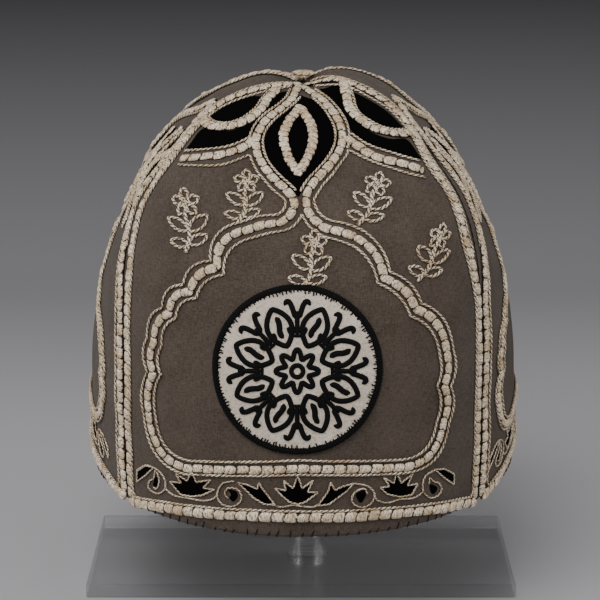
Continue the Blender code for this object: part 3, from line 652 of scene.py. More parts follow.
def add_node(tree, kind, settings=(), inputs=(), stops=()):
    """A shader node with its settings, its ramp's stops (place, linear colour) and its inputs, each a
    value or another node's output socket."""
    made = tree.nodes.new(kind)
    for key, value in dict(settings).items():
        setattr(made, key, value)
    while len(stops) > 2 and len(made.color_ramp.elements) < len(stops):
        made.color_ramp.elements.new(0.5)
    for number, (place, colour) in enumerate(stops):
        made.color_ramp.elements[number].position = place
        made.color_ramp.elements[number].color = colour
    for key, value in dict(inputs).items():
        if isinstance(value, bpy.types.NodeSocket):
            tree.links.new(value, made.inputs[key])
        else:
            made.inputs[key].default_value = value
    return made


def scale_of(size):
    """The scale that a noise on Object coordinates, which are metres, needs for features of a size in
    millimetres."""
    return 1 / (size * MM)


def new_material(name, settings):
    """A material, its node tree and its Principled shader with the shader's own settings."""
    material = bpy.data.materials.new(name)
    material.use_nodes = True
    shader = material.node_tree.nodes["Principled BSDF"]
    for key, value in settings.items():
        shader.inputs[key].default_value = value
    return material, material.node_tree, shader


def wool_felt(cap):
    """Milled wool felt: brown fibres of several shades lying along and across, with a soft matt nap."""
    material, tree, shader = new_material("milled_wool_felt", {
        "Roughness": 0.95, "Specular IOR Level": 0.12, "Sheen Weight": 0.08, "Sheen Roughness": 0.6})
    place = add_node(tree, "ShaderNodeTexCoord").outputs["Object"]
    cloth = add_node(tree, "ShaderNodeUVMap", {"uv_map": "cloth"}).outputs["UV"]
    # Bundles of fibres, 2.4 mm long and 0.56 mm thick, lie both up the panel and across it
    thick, long = UV_MM / 0.55556, UV_MM / 2.38095
    lengthwise = add_node(tree, "ShaderNodeMapping", inputs={"Vector": cloth, "Scale": (thick, long, 1.0)})
    crosswise = add_node(tree, "ShaderNodeMapping", inputs={"Vector": cloth, "Scale": (long, thick, 1.0)})
    warp = add_node(tree, "ShaderNodeTexNoise", inputs={
        "Vector": lengthwise.outputs[0], "Scale": 1.0, "Detail": 3.0, "Roughness": 0.6})
    weft = add_node(tree, "ShaderNodeTexNoise", inputs={
        "Vector": crosswise.outputs[0], "Scale": 1.0, "Detail": 3.0, "Roughness": 0.6})
    # Grain of 0.6 mm, far coarser than a single fibre so that it shows at this size, and worn patches of
    # 18 mm
    grain = add_node(tree, "ShaderNodeTexNoise", inputs={
        "Vector": place, "Scale": scale_of(0.588235), "Detail": 3.0, "Roughness": 0.7})
    worn = add_node(tree, "ShaderNodeTexNoise", inputs={
        "Vector": place, "Scale": scale_of(18.1818), "Detail": 3.0, "Roughness": 0.55})
    woven = add_node(tree, "ShaderNodeMath", {"operation": "ADD"},
                     {0: warp.outputs[0], 1: weft.outputs[0]})
    rough = add_node(tree, "ShaderNodeMath", {"operation": "ADD"},
                     {0: woven.outputs[0], 1: grain.outputs[0]})
    tone = add_node(tree, "ShaderNodeMath", {"operation": "MULTIPLY_ADD"},
                    {0: rough.outputs[0], 1: 0.3, 2: 0.0})
    blotched = add_node(tree, "ShaderNodeMath", {"operation": "MULTIPLY_ADD"},
                        {0: worn.outputs[0], 1: 0.22, 2: tone.outputs[0]})
    colour = add_node(tree, "ShaderNodeValToRGB", inputs={"Fac": blotched.outputs[0]},
                      stops=((0.42, cap.felt_dark), (0.70, cap.felt_light)))
    relief = add_node(tree, "ShaderNodeBump", inputs={
        "Height": rough.outputs[0], "Distance": 0.25 * MM, "Strength": 0.75})
    tree.links.new(colour.outputs["Color"], shader.inputs["Base Color"])
    tree.links.new(relief.outputs["Normal"], shader.inputs["Normal"])
    return material


def silver_thread(cap, name, turn, relief_mm):
    """Silver-wrapped thread, dulled to cream and tan: fine strands with specks between them, where the black
    core and the stitches' holes show, and painted shade from each vertex's shade, darkest where pads meet,
    down the bands' sides, in the chains' pinches and in the knot's grooves."""
    material, tree, shader = new_material(name, {"Roughness": 0.6, "Specular IOR Level": 0.35})
    cloth = add_node(tree, "ShaderNodeUVMap", {"uv_map": "cloth"}).outputs["UV"]
    place = add_node(tree, "ShaderNodeTexCoord").outputs["Object"]
    shade = add_node(tree, "ShaderNodeAttribute", {"attribute_name": "shade"}).outputs["Fac"]
    # Strands of 0.53 mm that cross the band at a slant, coarser than real ones so that they show, three of
    # them to its width; flecks of 0.7 mm and tarnish of 7 mm
    slanted = add_node(tree, "ShaderNodeMapping", inputs={
        "Vector": cloth, "Scale": (UV_MM / 0.526316, 3.2, 1.0), "Rotation": (0.0, 0.0, turn)})
    strands = add_node(tree, "ShaderNodeTexNoise", inputs={
        "Vector": slanted.outputs[0], "Scale": 1.0, "Detail": 2.0, "Roughness": 0.6})
    flecks = add_node(tree, "ShaderNodeTexNoise", inputs={
        "Vector": place, "Scale": scale_of(0.666667), "Detail": 2.0, "Roughness": 0.65})
    tarnish = add_node(tree, "ShaderNodeTexNoise", inputs={
        "Vector": place, "Scale": scale_of(7.142857), "Detail": 2.0, "Roughness": 0.5})
    warm = add_node(tree, "ShaderNodeValToRGB", inputs={"Fac": tarnish.outputs[0]},
                    stops=((0.36, cap.thread_light), (0.68, cap.thread_warm)))
    twist = add_node(tree, "ShaderNodeValToRGB", inputs={"Fac": strands.outputs[0]},
                     stops=((0.42, (0.0, 0.0, 0.0, 1.0)), (0.66, (1.0, 1.0, 1.0, 1.0))))
    tan = add_node(tree, "ShaderNodeMix", {"data_type": "RGBA"}, {
        0: twist.outputs["Color"], 6: warm.outputs["Color"], 7: srgb("#8d7861")})
    # Painted shade: the thread darkens where the shade is low, and where a fleck is strong it darkens sooner
    lit = add_node(tree, "ShaderNodeMath", {"operation": "MULTIPLY"}, {0: shade, 1: 1.5})
    shade_less_flecks = add_node(tree, "ShaderNodeMath", {"operation": "SUBTRACT"},
                   {0: lit.outputs[0], 1: flecks.outputs[0]})
    dark = add_node(tree, "ShaderNodeValToRGB", inputs={"Fac": shade_less_flecks.outputs[0]},
                    stops=((0.0, srgb("#17120d")), (0.18, srgb("#54483a")), (0.36, srgb("#ffffff"))))
    hole = add_node(tree, "ShaderNodeValToRGB", inputs={"Fac": flecks.outputs[0]},
                    stops=((0.58, srgb("#ffffff")), (0.69, srgb("#2c241c"))))
    pitted = add_node(tree, "ShaderNodeMix", {"data_type": "RGBA", "blend_type": "MULTIPLY"}, {
        0: 1.0, 6: tan.outputs[2], 7: hole.outputs["Color"]})
    colour = add_node(tree, "ShaderNodeMix", {"data_type": "RGBA", "blend_type": "MULTIPLY"}, {
        0: 1.0, 6: pitted.outputs[2], 7: dark.outputs["Color"]})
    rough = add_node(tree, "ShaderNodeMath", {"operation": "SUBTRACT"},
                     {0: strands.outputs[0], 1: flecks.outputs[0]})
    relief = add_node(tree, "ShaderNodeBump", inputs={
        "Height": rough.outputs[0], "Distance": relief_mm * MM, "Strength": 0.85})
    tree.links.new(colour.outputs[2], shader.inputs["Base Color"])
    tree.links.new(relief.outputs["Normal"], shader.inputs["Normal"])
    return material


def napped(name, settings, grain_mm, dark, light, relief_mm):
    """A material of one fine nap: two shades over grains of a size, with their relief."""
    material, tree, shader = new_material(name, settings)
    place = add_node(tree, "ShaderNodeTexCoord").outputs["Object"]
    nap = add_node(tree, "ShaderNodeTexNoise", inputs={
        "Vector": place, "Scale": scale_of(grain_mm), "Detail": 3.0, "Roughness": 0.6})
    colour = add_node(tree, "ShaderNodeValToRGB", inputs={"Fac": nap.outputs[0]},
                      stops=((0.3, dark), (0.78, light)))
    relief = add_node(tree, "ShaderNodeBump", inputs={
        "Height": nap.outputs[0], "Distance": relief_mm * MM, "Strength": 0.6})
    tree.links.new(colour.outputs["Color"], shader.inputs["Base Color"])
    tree.links.new(relief.outputs["Normal"], shader.inputs["Normal"])
    return material


def cotton_velvet(cap):
    """Cotton velvet: short black pile, in tufts of 0.5 mm, that swallows nearly all light."""
    return napped("cotton_velvet", {"Roughness": 1.0, "Specular IOR Level": 0.03}, 0.5, cap.velvet,
                  srgb("#0b0a0a"), 0.15)


def black_thread():
    """Twisted black cotton thread of 0.4 mm strands: matt, with a faint highlight along them."""
    return napped("twisted_black_cotton", {"Roughness": 0.85, "Specular IOR Level": 0.12}, 0.4,
                  srgb("#040405"), srgb("#100f0f"), 0.12)


def seam_thread_and_groove_shade():
    """Waxed brown-black seam thread of 0.4 mm strands, which reads as the dark groove between panels: its
    dark is partly painted shade of the groove.
    """
    return napped("waxed_brown_thread", {"Roughness": 0.85, "Specular IOR Level": 0.1}, 0.4,
                  srgb("#120e0b"), srgb("#2a221b"), 0.12)


def nubbly_cloth(cap):
    """Coarse undyed cotton: off-white slubs and loops of 0.9 mm with small shadows between them."""
    material, tree, shader = new_material("coarse_undyed_cotton",
                                          {"Roughness": 0.95, "Specular IOR Level": 0.15})
    place = add_node(tree, "ShaderNodeTexCoord").outputs["Object"]
    slubs = add_node(tree, "ShaderNodeTexNoise", inputs={
        "Vector": place, "Scale": scale_of(0.909091), "Detail": 3.0, "Roughness": 0.65})
    # Yellowing in patches of 9 mm
    tone = add_node(tree, "ShaderNodeTexNoise", inputs={
        "Vector": place, "Scale": scale_of(9.09091), "Detail": 2.0, "Roughness": 0.5})
    # Painted shade: the darkest stop darkens the hollows between the slubs
    pale = add_node(tree, "ShaderNodeValToRGB", inputs={"Fac": slubs.outputs[0]},
                    stops=((0.32, srgb("#8f8274")), (0.47, cap.cloth), (0.75, srgb("#e3dbd0"))))
    colour = add_node(tree, "ShaderNodeMix", {"data_type": "RGBA"}, {
        0: tone.outputs[0], 6: pale.outputs["Color"], 7: srgb("#b8aa98")})
    relief = add_node(tree, "ShaderNodeBump", inputs={
        "Height": slubs.outputs[0], "Distance": 0.6 * MM, "Strength": 0.9})
    tree.links.new(colour.outputs[2], shader.inputs["Base Color"])
    tree.links.new(relief.outputs["Normal"], shader.inputs["Normal"])
    return material


def cast_acrylic():
    """Polished cast acrylic: clear and colourless, with bright cut edges. Half of it lets light straight
    through, so that its shadow stays as pale as a clear plate's."""
    return new_material("polished_cast_acrylic", {
        "Base Color": srgb("#ffffff"), "Roughness": 0.03, "IOR": 1.49, "Transmission Weight": 1.0,
        "Alpha": 0.5})[0]


def paper_backdrop(stage):
    """Matt paper with painted shade: pale on the floor, falling off to grey up the backdrop as in a shaded
    studio.
    """
    material, tree, shader = new_material("paper_backdrop", {"Roughness": 0.9})
    place = add_node(tree, "ShaderNodeTexCoord").outputs["Object"]
    split = add_node(tree, "ShaderNodeSeparateXYZ", inputs={"Vector": place})
    height = add_node(tree, "ShaderNodeMath", {"operation": "MULTIPLY"}, {0: split.outputs["Z"], 1: 0.9})
    rise = add_node(tree, "ShaderNodeMath", {"operation": "MULTIPLY_ADD"},
                    {0: split.outputs["Y"], 1: 0.5, 2: height.outputs[0]})
    # Painted shade: the paper goes from the floor's colour to grey towards the back and up the backdrop
    colour = add_node(tree, "ShaderNodeValToRGB", inputs={"Fac": rise.outputs[0]},
                      stops=((0.05, stage.floor_colour), (0.62, stage.backdrop_shaded_colour)))
    tree.links.new(colour.outputs["Color"], shader.inputs["Base Color"])
    return material


class CAP_OT_felt(bpy.types.Operator):
    """Make the four felt panels with their raw hem edge"""
    bl_idname = "cap.felt"
    bl_label = "Felt panels"

    def execute(self, context):
        felt = wool_felt(context.scene.cap_looks)
        for panel in PANELS:
            rows, columns = (171, 121) if panel == "front" else (121, 81)
            station = np.linspace(0.0, CROWN - CROWN_HOLE, rows)[:, None]
            edge = 1 - 0.15 / panel_half_width(panel, station)
            across = np.sin(np.linspace(-1, 1, columns) * 1.3)[None] / math.sin(1.3) * edge
            station = station + 0 * across
            flat = np.stack((across * panel_half_width(panel, station), station), -1)
            outer = placed(surface(panel, across, station))
            inner = placed(surface(panel, across, station, -WALL))
            piece = make_piece("felt_" + panel, [sheet_between(outer, inner, flat)], felt,
                               ["gore_" + panel])
        return {"FINISHED"}


def edge_line(panel, beside, step, low=None):
    """The line along a panel's seams and hem, beside the edge band's middle: left top, hem, right top. Over
    the shoulder it stands further in, and on the side panels it comes to a point. With a low station it is
    only the two stretches above that, as two lines."""
    top = (SIDE_POINT_TOP if panel in SIDE_PANELS else EDGE_TOP) - max(beside, 0.0) * 2.0
    hem_up = HEM_BAND_UP + beside
    side_up = np.linspace(low or hem_up + EDGE_CORNER, top, 260)
    sides = []
    for sign in (1, -1):
        column = 1 if panel in SIDE_PANELS else 2 if sign > 0 else 3
        inset = np.interp(side_up, EDGE_INSETS[:, 0], EDGE_INSETS[:, column]) + beside
        fraction = 1 - inset / panel_half_width(panel, side_up)
        if panel in SIDE_PANELS:
            beyond = np.clip((side_up - SIDE_POINT_FROM) / (top - SIDE_POINT_FROM), 0.0, 1.0)
            fraction = fraction * (1 - SIDE_POINT_DRAWN_IN * beyond ** 2)
        sides.append(np.stack((sign * fraction, side_up - bow(side_up) * fraction ** 2), -1))
    right, left = sides
    if low:
        return [Line(panel, right, step), Line(panel, left, step)]
    corner = EDGE_CORNER * 0.5 / panel_half_width(panel, hem_up)
    hem = np.linspace(left[0, 0] + corner, right[0, 0] - corner, 160)
    hem = np.stack((hem, hem_up - RAIL_BOW * hem ** 2), -1)
    return [Line(panel, np.concatenate((left[::-1], hem, right)), step)]


def both_halves(right, left):
    """Two halves joined into one line, from the right end round the bottom rail to the left."""
    return np.concatenate((right[::-1], (left * (-1, 1))[1:]))


class CAP_OT_couching(bpy.types.Operator):
    """Make the couched silver bands of every panel"""
    bl_idname = "cap.couching"
    bl_label = "Couched bands"

    def execute(self, context):
        cap = context.scene.cap_looks
        thread = silver_thread(cap, "couched_silver_thread", 0.5, 0.3)
        width, height, pitch = (v / MM for v in (cap.band_width, cap.band_height, cap.pad_pitch))
        for order, panel in enumerate(PANELS):
            step = BAND_STEPS[panel != "front"]
            line, = edge_line(panel, 0.0, step)
            make_piece("edge_couching_" + panel, [couched(line, width, height, pitch, salt=order + 0.1)],
                       thread, ["edge_band_" + panel])
            right, left = (np.concatenate((arcs(ARCH[side]), through(ALMOND[side])[1:])) for side in SIDES)
            line = drawn(panel, both_halves(right, left), step)
            make_piece("arch_couching_" + panel,
                       [couched(line, width * 0.84, height * 0.85, pitch, salt=order + 0.3)],
                       thread, ["arch_band_" + panel])
            # The crown's bands are flatter on the side panels, whose crown lies on the outline of the cap
            low = 0.6 if panel in SIDE_PANELS else 0.9
            for side, sign in SIDES.items():
                line = drawn(panel, through(WINGS[side]) * (sign, 1), step)
                make_piece(f"wing_couching_{side}_{panel}",
                           [couched(line, width * 0.95, height * low, pitch, salt=order + sign * 0.2)],
                           thread, [f"wing_band_{side}_{panel}"])
            parts = []
            for side, sign in SIDES.items():
                line = drawn(panel, through(LEAF_BANDS[side]) * (sign, 1), step)
                parts.append(couched(line, width * 1.05, height * low, pitch * 0.8, lift=0.5, salt=sign))
            line = drawn(panel, through(ALMOND_RING, closed=True), step, closed=True)
            parts.append(couched(line, ALMOND_RING_WIDTH, height, pitch * 0.6, lift=0.6, salt=order))
            make_piece("crown_couching_" + panel, parts, thread)
        return {"FINISHED"}


def pile_patch(panel, first, second, columns, rows=60):
    """The outer and inner grids and flat places of a patch between two edges that meet at both ends, a
    little fuller in its middle."""
    along = np.linspace(0.0, 1.0, rows)
    ends = []
    for edge in (first, second):
        edge = even(through(edge), 0.3)
        own = np.linspace(0.0, 1.0, len(edge))
        ends.append(np.stack([np.interp(along, own, column) for column in edge.T], -1))
    t = np.linspace(0.0, 1.0, columns)[None, :, None]
    flat = ends[0][:, None] * (1 - t) + ends[1][:, None] * t
    fraction, station = np.moveaxis(fitted(panel, flat), -1, 0)
    lift = 0.3 + 0.3 * (4 * t[..., 0] * (1 - t[..., 0])) ** 0.5
    outer, inner = (placed(surface(panel, fraction, station, height)) for height in (lift, 0.05))
    return outer, inner, flat


class CAP_OT_velvet(bpy.types.Operator):
    """Make the velvet almonds, crescents and leaves at the crown of every panel"""
    bl_idname = "cap.velvet"
    bl_label = "Velvet shapes"

    def execute(self, context):
        velvet = cotton_velvet(context.scene.cap_looks)
        for panel in PANELS:
            shapes = [("velvet_almond_" + panel, "almond_velvet_" + panel, ALMOND_VELVET, 1, 17)]
            for name, edges in VELVET.items():
                sign = -1 if name.endswith("left") else 1
                shapes.append((f"velvet_{name}_{panel}", f"{name}_{panel}", edges, sign, 9))
            for name, node, edges, sign, columns in shapes:
                first, second = (np.array(edge) * (sign, 1) for edge in edges)
                outer, inner, flat = pile_patch(panel, first, second, columns)
                piece = make_piece(name, [sheet_between(outer, inner, flat)], velvet,
                                   [node])
        return {"FINISHED"}


class CAP_OT_chains(bpy.types.Operator):
    """Make the chain lines beside the bands of every panel"""
    bl_idname = "cap.chains"
    bl_label = "Chain lines"

    def execute(self, context):
        cap = context.scene.cap_looks
        thread = silver_thread(cap, "silver_chain_stitch", 0.0, 0.12)
        radius, pitch = cap.chain_radius / MM, cap.chain_pitch / MM
        for order, panel in enumerate(PANELS):
            step = CHAIN_STEPS[panel != "front"]
            lines = edge_line(panel, CHAIN_BESIDE, step)
            lines += edge_line(panel, -CHAIN_BESIDE * (0.85 if panel in SIDE_PANELS else 1.0), step,
                               OUTER_CHAIN_FROM)
            for halves in (CHAIN_OUT, CHAIN_IN):
                lines.append(drawn(panel, both_halves(*(arcs(halves[side]) for side in SIDES)), step))
            for side, sign in SIDES.items():
                for rows in WING_CHAINS[side]:
                    lines.append(drawn(panel, through(rows) * (sign, 1), step))
                # One line inside the almond's band, one outside it above the wing, one beside the leaf's band
                almond = through(ALMOND[side])
                within = almond[(almond[:, 1] > 132.5) & (almond[:, 1] < 184.0)]
                lines.append(drawn(panel, within * (sign, 1), step, beside=-CHAIN_BESIDE * sign))
                crescent = almond[(almond[:, 1] > 151.0) & (almond[:, 1] < 190.0)]
                lines.append(drawn(panel, crescent * (sign, 1), step, beside=CHAIN_BESIDE * sign))
                leaf = through(LEAF_BANDS[side])
                lines.append(drawn(panel, leaf * (sign, 1), step, beside=-CHAIN_BESIDE * sign))
            bundles = [chain(line, radius, pitch, lift=0.35, salt=order + i)
                       for i, line in enumerate(lines)]
            make_piece("chain_lines_" + panel, bundles, thread)
        return {"FINISHED"}


def patch(panel, edge, centre, circles=6):
    """A closed patch inside a star-shaped outline: circles of the outline drawn in to a centre, a little
    fuller in the middle."""
    t = np.linspace(0.0, 1.0, circles)[:, None, None]
    loop = np.concatenate((edge, edge[:1]))
    flat = np.asarray(centre) + (loop[None] - centre) * t
    fraction, station = np.moveaxis(fitted(panel, flat), -1, 0)
    lift = 0.47 - 0.2 * t[..., 0] ** 3
    outer = placed(surface(panel, fraction, station, lift))
    return sheet_between(outer, placed(surface(panel, fraction, station, 0.02)), flat)


class CAP_OT_border(bpy.types.Operator):
    """Make the vine border above the hem of every panel"""
    bl_idname = "cap.border"
    bl_label = "Vine border"

    def execute(self, context):
        cap = context.scene.cap_looks
        velvet = bpy.data.materials["cotton_velvet"]
        thread = silver_thread(cap, "silver_outline_stitch", 0.0, 0.10)
        radius, pitch = cap.chain_radius / MM * 0.72, cap.chain_pitch / MM * 0.8
        for order, panel in enumerate(PANELS):
            step = CHAIN_STEPS[panel != "front"]
            patches = []
            lines = [drawn(panel, through(points), step) for points in (*VINES, *CURLS)]
            for outline in (*PALMETTES, *LEAVES):
                outline = np.array(outline)
                centre = outline.mean(0)
                patches.append(patch(panel, even(outline, 0.35, True), centre))
                lines.append(drawn(panel, even(outline, 0.2, True), step, closed=True))
            for drop in CURL_DROPS:
                drop = through(drop, closed=True)
                patches.append(patch(panel, even(drop, 0.35, True), drop.mean(0)))
            make_piece("border_leaves_" + panel, patches, velvet)
            bundles = [chain(line, radius, pitch, salt=order + i, around=5) for i, line in enumerate(lines)]
            make_piece("border_lines_" + panel, bundles, thread)
        return {"FINISHED"}


def petal_loop(length, half_width, per=36):
    """A closed almond loop from the origin along x: its half width swells as a sine to the power 0.75."""
    t = np.linspace(0.0, 1.0, per)
    side = half_width * np.sin(math.pi * t) ** 0.75
    return np.concatenate((np.stack((length * t, side), -1), np.stack((length * t, -side), -1)[-2:0:-1]))


class CAP_OT_sprigs(bpy.types.Operator):
    """Make the five silver flower sprigs round the arch of the front and back panels"""
    bl_idname = "cap.sprigs"
    bl_label = "Sprigs"

    def execute(self, context):
        cap = context.scene.cap_looks
        thread = silver_thread(cap, "silver_sprig_stitch", 0.0, 0.15)
        pitch = cap.chain_pitch / MM
        for panel in ("front", "back"):
            step = CHAIN_STEPS[panel != "front"]
            bundles = []
            for order, (x, y, size, turn) in enumerate(SPRIGS):
                loops = [spun(petal_loop(length, half), lean) + (foot_x, foot_y)
                         for foot_x, foot_y, length, lean, half in SPRIG_LEAVES]
                petal = petal_loop(SPRIG_PETAL_REACH - SPRIG_PETAL_FROM, SPRIG_PETAL_HALF)
                for k in range(SPRIG_PETALS):
                    angle = 90.0 + 360.0 * k / SPRIG_PETALS
                    loops.append(spun(petal + (SPRIG_PETAL_FROM, 0.0), angle) + SPRIG_BLOSSOM)
                lines = [(loop, True, SPRIG_CORD) for loop in loops]
                lines.append((through(SPRIG_STEM), False, SPRIG_STEM_CORD))
                around = np.linspace(0, 2 * math.pi, 16, endpoint=False)
                heart = np.stack((np.cos(around), np.sin(around)), -1) * SPRIG_HEART + SPRIG_BLOSSOM
                lines.append((heart, True, SPRIG_HEART_CORD))
                for points, closed, radius in lines:
                    line = drawn(panel, spun(points * size, turn) + (x, y), step, closed)
                    bundles.append(chain(line, radius, pitch, lift=0.1, salt=order))
            make_piece("sprigs_" + panel, bundles, thread)
        return {"FINISHED"}


def stroke(line, half_width, height, lift):
    """A satin-stitched stroke: half an oval that narrows at both ends, ribbed across by its stitches."""
    across = np.sin(np.linspace(-1.0, 1.0, 7) * math.pi / 2)[None]
    taper = np.ones(len(line.length))
    if not line.closed:
        taper = np.clip(np.sin(math.pi * line.length / line.total) * 2.2, 0.0, 1.0) ** 0.6
    ribs = 1 + 0.10 * np.sin(2 * math.pi * line.length / 0.8)
    half = (half_width * taper)[:, None] * across * (0.97 + 0.03 * ribs[:, None])
    rise = (height * taper * ribs)[:, None] * np.sqrt(1 - across ** 2)
    return rings(line, half, lift + rise, np.ones(half.shape))


class CAP_OT_roundel(bpy.types.Operator):
    """Make the cloth roundel with its stitched edge and a plain eightfold rosette"""
    bl_idname = "cap.roundel"
    bl_label = "Roundel"

    def execute(self, context):
        cloth_look, black = nubbly_cloth(context.scene.cap_looks), black_thread()
        middle = np.array(ROUNDEL)
        turn = np.linspace(0, 2 * math.pi, 145)[None, :, None]
        reach = np.linspace(0.0, ROUNDEL_CLOTH, 49)[:, None, None]
        flat = middle + reach * np.concatenate((np.cos(turn), np.sin(turn)), -1)
        fraction, station = np.moveaxis(fitted("front", flat), -1, 0)
        x, y = np.moveaxis(flat, -1, 0)
        nubs = 0.13 * np.sin(x * 3.1 + 2 * np.sin(y * 0.9)) * np.sin(y * 3.3 + 2 * np.sin(x * 0.8))
        outer = placed(surface("front", fraction, station, CLOTH_THICKNESS + nubs))
        inner = placed(surface("front", fraction, station, 0.1))
        piece = make_piece("roundel_cloth", [sheet_between(outer, inner, flat)], cloth_look,
                           ["medallion_cloth"])
        turn = np.linspace(0, 2 * math.pi, 720, endpoint=False)
        circle = np.stack((np.cos(turn), np.sin(turn)), -1)
        edge = drawn("front", middle + circle * (ROUNDEL_RADIUS - 1.1), 0.28, closed=True)
        around = np.linspace(0, 2 * math.pi, 10, endpoint=False)[None]
        count = round(edge.total / EDGE_STITCH_PITCH)
        stitch = np.abs(np.sin(math.pi * count * edge.length / edge.total))[:, None]
        # A roll of thread, which swells a little in every stitch
        wide, tall = 1.15 + 0.28 * stitch, 0.75 + 0.25 * stitch
        bundles = [rings(edge, wide * np.cos(around), 0.75 + tall * np.sin(around),
                         np.ones((len(stitch), 10)))]
        # Ragged ends of the buttonhole stitches, which reach in over the cloth by uneven lengths
        for k in range(count):
            angle = 360.0 * k / count + 1.2 * (chance(k, 3.0) - 0.5)
            length = 0.5 + 1.3 * chance(k, 4.0) ** 1.5
            end = np.stack((np.linspace(ROUNDEL_CLOTH, ROUNDEL_CLOTH - 0.8 - length, 7),
                            np.linspace(0.0, 0.9 * (chance(k, 5.0) - 0.5), 7)), -1)
            line = drawn("front", middle + spun(end, angle), 0.35)
            bundles.append(chain(line, 0.34, 3.0, lift=CLOTH_THICKNESS, around=5))
        make_piece("roundel_edge", bundles, black, ["medallion_edge"])
        # Each stroke of the rosette: its points, whether it closes, its half width. A scalloped ring and an
        # eye in the middle, then round them petals with a vein, and between those a bar, hooks and buds
        t = np.linspace(0.0, 1.0, 60)
        scallops = circle * (6.4 + 1.7 * np.cos(ROUNDEL_FOLD * turn))[:, None]
        lines = [(scallops, True, 1.0), (circle * 2.2, True, 0.95)]
        petal = petal_loop(14.6, 4.6, 60) + (10.2, 0.0)
        vein = np.stack((13.2 + 8.6 * t, 0.5 * np.sin(2 * math.pi * t)), -1)
        bar = np.stack((13.0 + 9.6 * t, 0.0 * t), -1)
        for k in range(ROUNDEL_FOLD):
            angle = 360.0 / ROUNDEL_FOLD * (k + 0.5)
            lines.append((spun(petal, angle), True, 1.05))
            lines.append((spun(vein, angle), False, 1.15))
            angle = 360.0 / ROUNDEL_FOLD * k
            lines.append((spun(bar, angle), False, 0.95))
            for sign in (1, -1):
                hook = np.stack((19.4 + 6.6 * np.sin(t * 2.3), sign * (0.6 + 4.4 * t)), -1)
                lines.append((spun(hook, angle), False, 1.05))
                bud = spun(petal_loop(4.4, 1.0, 24), sign * 52.0) + (13.2, 0.0)
                lines.append((spun(bud, angle), True, 0.6))
        bundles = [stroke(drawn("front", middle + points, 0.3, closed), half, STROKE_HEIGHT,
                          CLOTH_THICKNESS) for points, closed, half in lines]
        make_piece("roundel_rosette", bundles, black)
        return {"FINISHED"}


def thread_tube(places, radius, panel, across):
    """A plain thread along places in the cap's frame, round in section, closed at both ends."""
    along = np.gradient(places, axis=0)
    along /= np.linalg.norm(along, axis=-1, keepdims=True)
    side = surface(panel, across + 0.01, 1.0) - surface(panel, across - 0.01, 1.0)
    side = side - (along @ side)[:, None] * along
    side /= np.linalg.norm(side, axis=-1, keepdims=True)
    normal = np.cross(along, side)
    turn = np.linspace(0, 2 * math.pi, 6, endpoint=False)[None, :, None]
    ring = side[:, None] * np.cos(turn) + normal[:, None] * np.sin(turn)
    points = placed(places[:, None] + radius * ring)
    for end in (0, -1):
        points[end] = points[end].mean(0)
    count = len(places) * 6
    index = np.arange(count).reshape(-1, 6)
    quads = np.stack((index[:-1], index[1:], np.roll(index[1:], -1, 1), np.roll(index[:-1], -1, 1)), -1)
    return points.reshape(-1, 3), quads.reshape(-1, 4), np.zeros((count, 2)), np.ones(count)


class CAP_OT_seams(bpy.types.Operator):
    """Make the hem's whip stitches, the knot at the crown and the dark seam cords between the panels, whose
    dark is partly painted shade of the seam grooves
    """
    bl_idname = "cap.seams"
    bl_label = "Seams, hem and knot"

    def execute(self, context):
        dark = seam_thread_and_groove_shade()
        bundles = []
        # Cords sunk in the four seam grooves: their dark is partly painted shade of the grooves
        for panel in ("front", "back"):
            for sign in (1.0, -1.0):
                station = np.linspace(0.4, CROWN - 6.0, 400)
                cloth = np.stack((np.full(400, sign), station), -1)
                bundles.append(chain(Line(panel, cloth, 0.5), 0.6, 3.4, lift=-0.55, salt=sign))
        make_piece("seam_cords", bundles, dark)
        bundles = []
        for order, panel in enumerate(PANELS):
            half = float(panel_half_width(panel, 0.0))
            count = round(2 * half / HEM_STITCH_PITCH)
            for k in range(count):
                across = -1 + (2 * k + 1) / count + 0.02 * (chance(k, order) - 0.5)
                lean = 0.2 + 1.1 * chance(k, order + 5.0)
                reach = 1.2 + 1.6 * chance(k, order + 9.0)
                t = np.linspace(0.0, 1.0, 8)
                outer = surface(panel, across - lean * t / half, reach * (1 - t), 0.06)
                inner = surface(panel, np.full(5, across), np.linspace(0.0, 2.4, 5), -WALL - 0.06)
                # Down the outside, round under the hem and up the inside of the wall
                path = np.concatenate((outer, outer[-1:] - (0, 0, 0.2), inner[:1] - (0, 0, 0.2), inner))
                bundles.append(thread_tube(even(path, 0.5), HEM_STITCH_RADIUS, panel, across))
        make_piece("hem_stitches", bundles, dark)
        low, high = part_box("crown_knot")
        centre = np.array((low + high) / 2)
        turn = np.linspace(0, 2 * math.pi, 97)[None]
        tilt = np.linspace(0, math.pi, 33)[:, None]
        # A flat button of wound thread: nine ridges run over it on the slant
        ridge = 1 + 0.10 * np.cos(9 * turn + 3 * tilt) * np.sin(tilt)
        button = np.stack((np.sin(tilt) * np.cos(turn) * ridge, np.sin(tilt) * np.sin(turn) * ridge,
                           np.cos(tilt) * ridge), -1)
        points = button * np.array(KNOT_HALF) * MM + centre - (0, 0, MM)
        quads = grid_quads(*points.shape[:2])[1]
        uv = np.stack(np.broadcast_arrays(turn * 3.0 / UV_MM, tilt / math.pi), -1).reshape(-1, 2)
        # Painted shade: darker in the grooves between the ridges
        shade = np.clip(0.85 + 2 * (ridge - 1), 0.6, 1.0) + 0 * turn
        make_piece("crown_knot_thread", [(points.reshape(-1, 3), quads, uv, shade.reshape(-1))],
                   bpy.data.materials["couched_silver_thread"], ["crown_knot"])
        return {"FINISHED"}


class CAP_OT_stand(bpy.types.Operator):
    """Finish the stand's own solids in clear acrylic"""
    bl_idname = "cap.stand"
    bl_label = "Acrylic stand"

    def execute(self, context):
        acrylic = cast_acrylic()
        for node in ("stand_plate", "stand_collar", "stand_post", "stand_rest"):
            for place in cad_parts[node].material_slots:
                place.material = acrylic
        return {"FINISHED"}


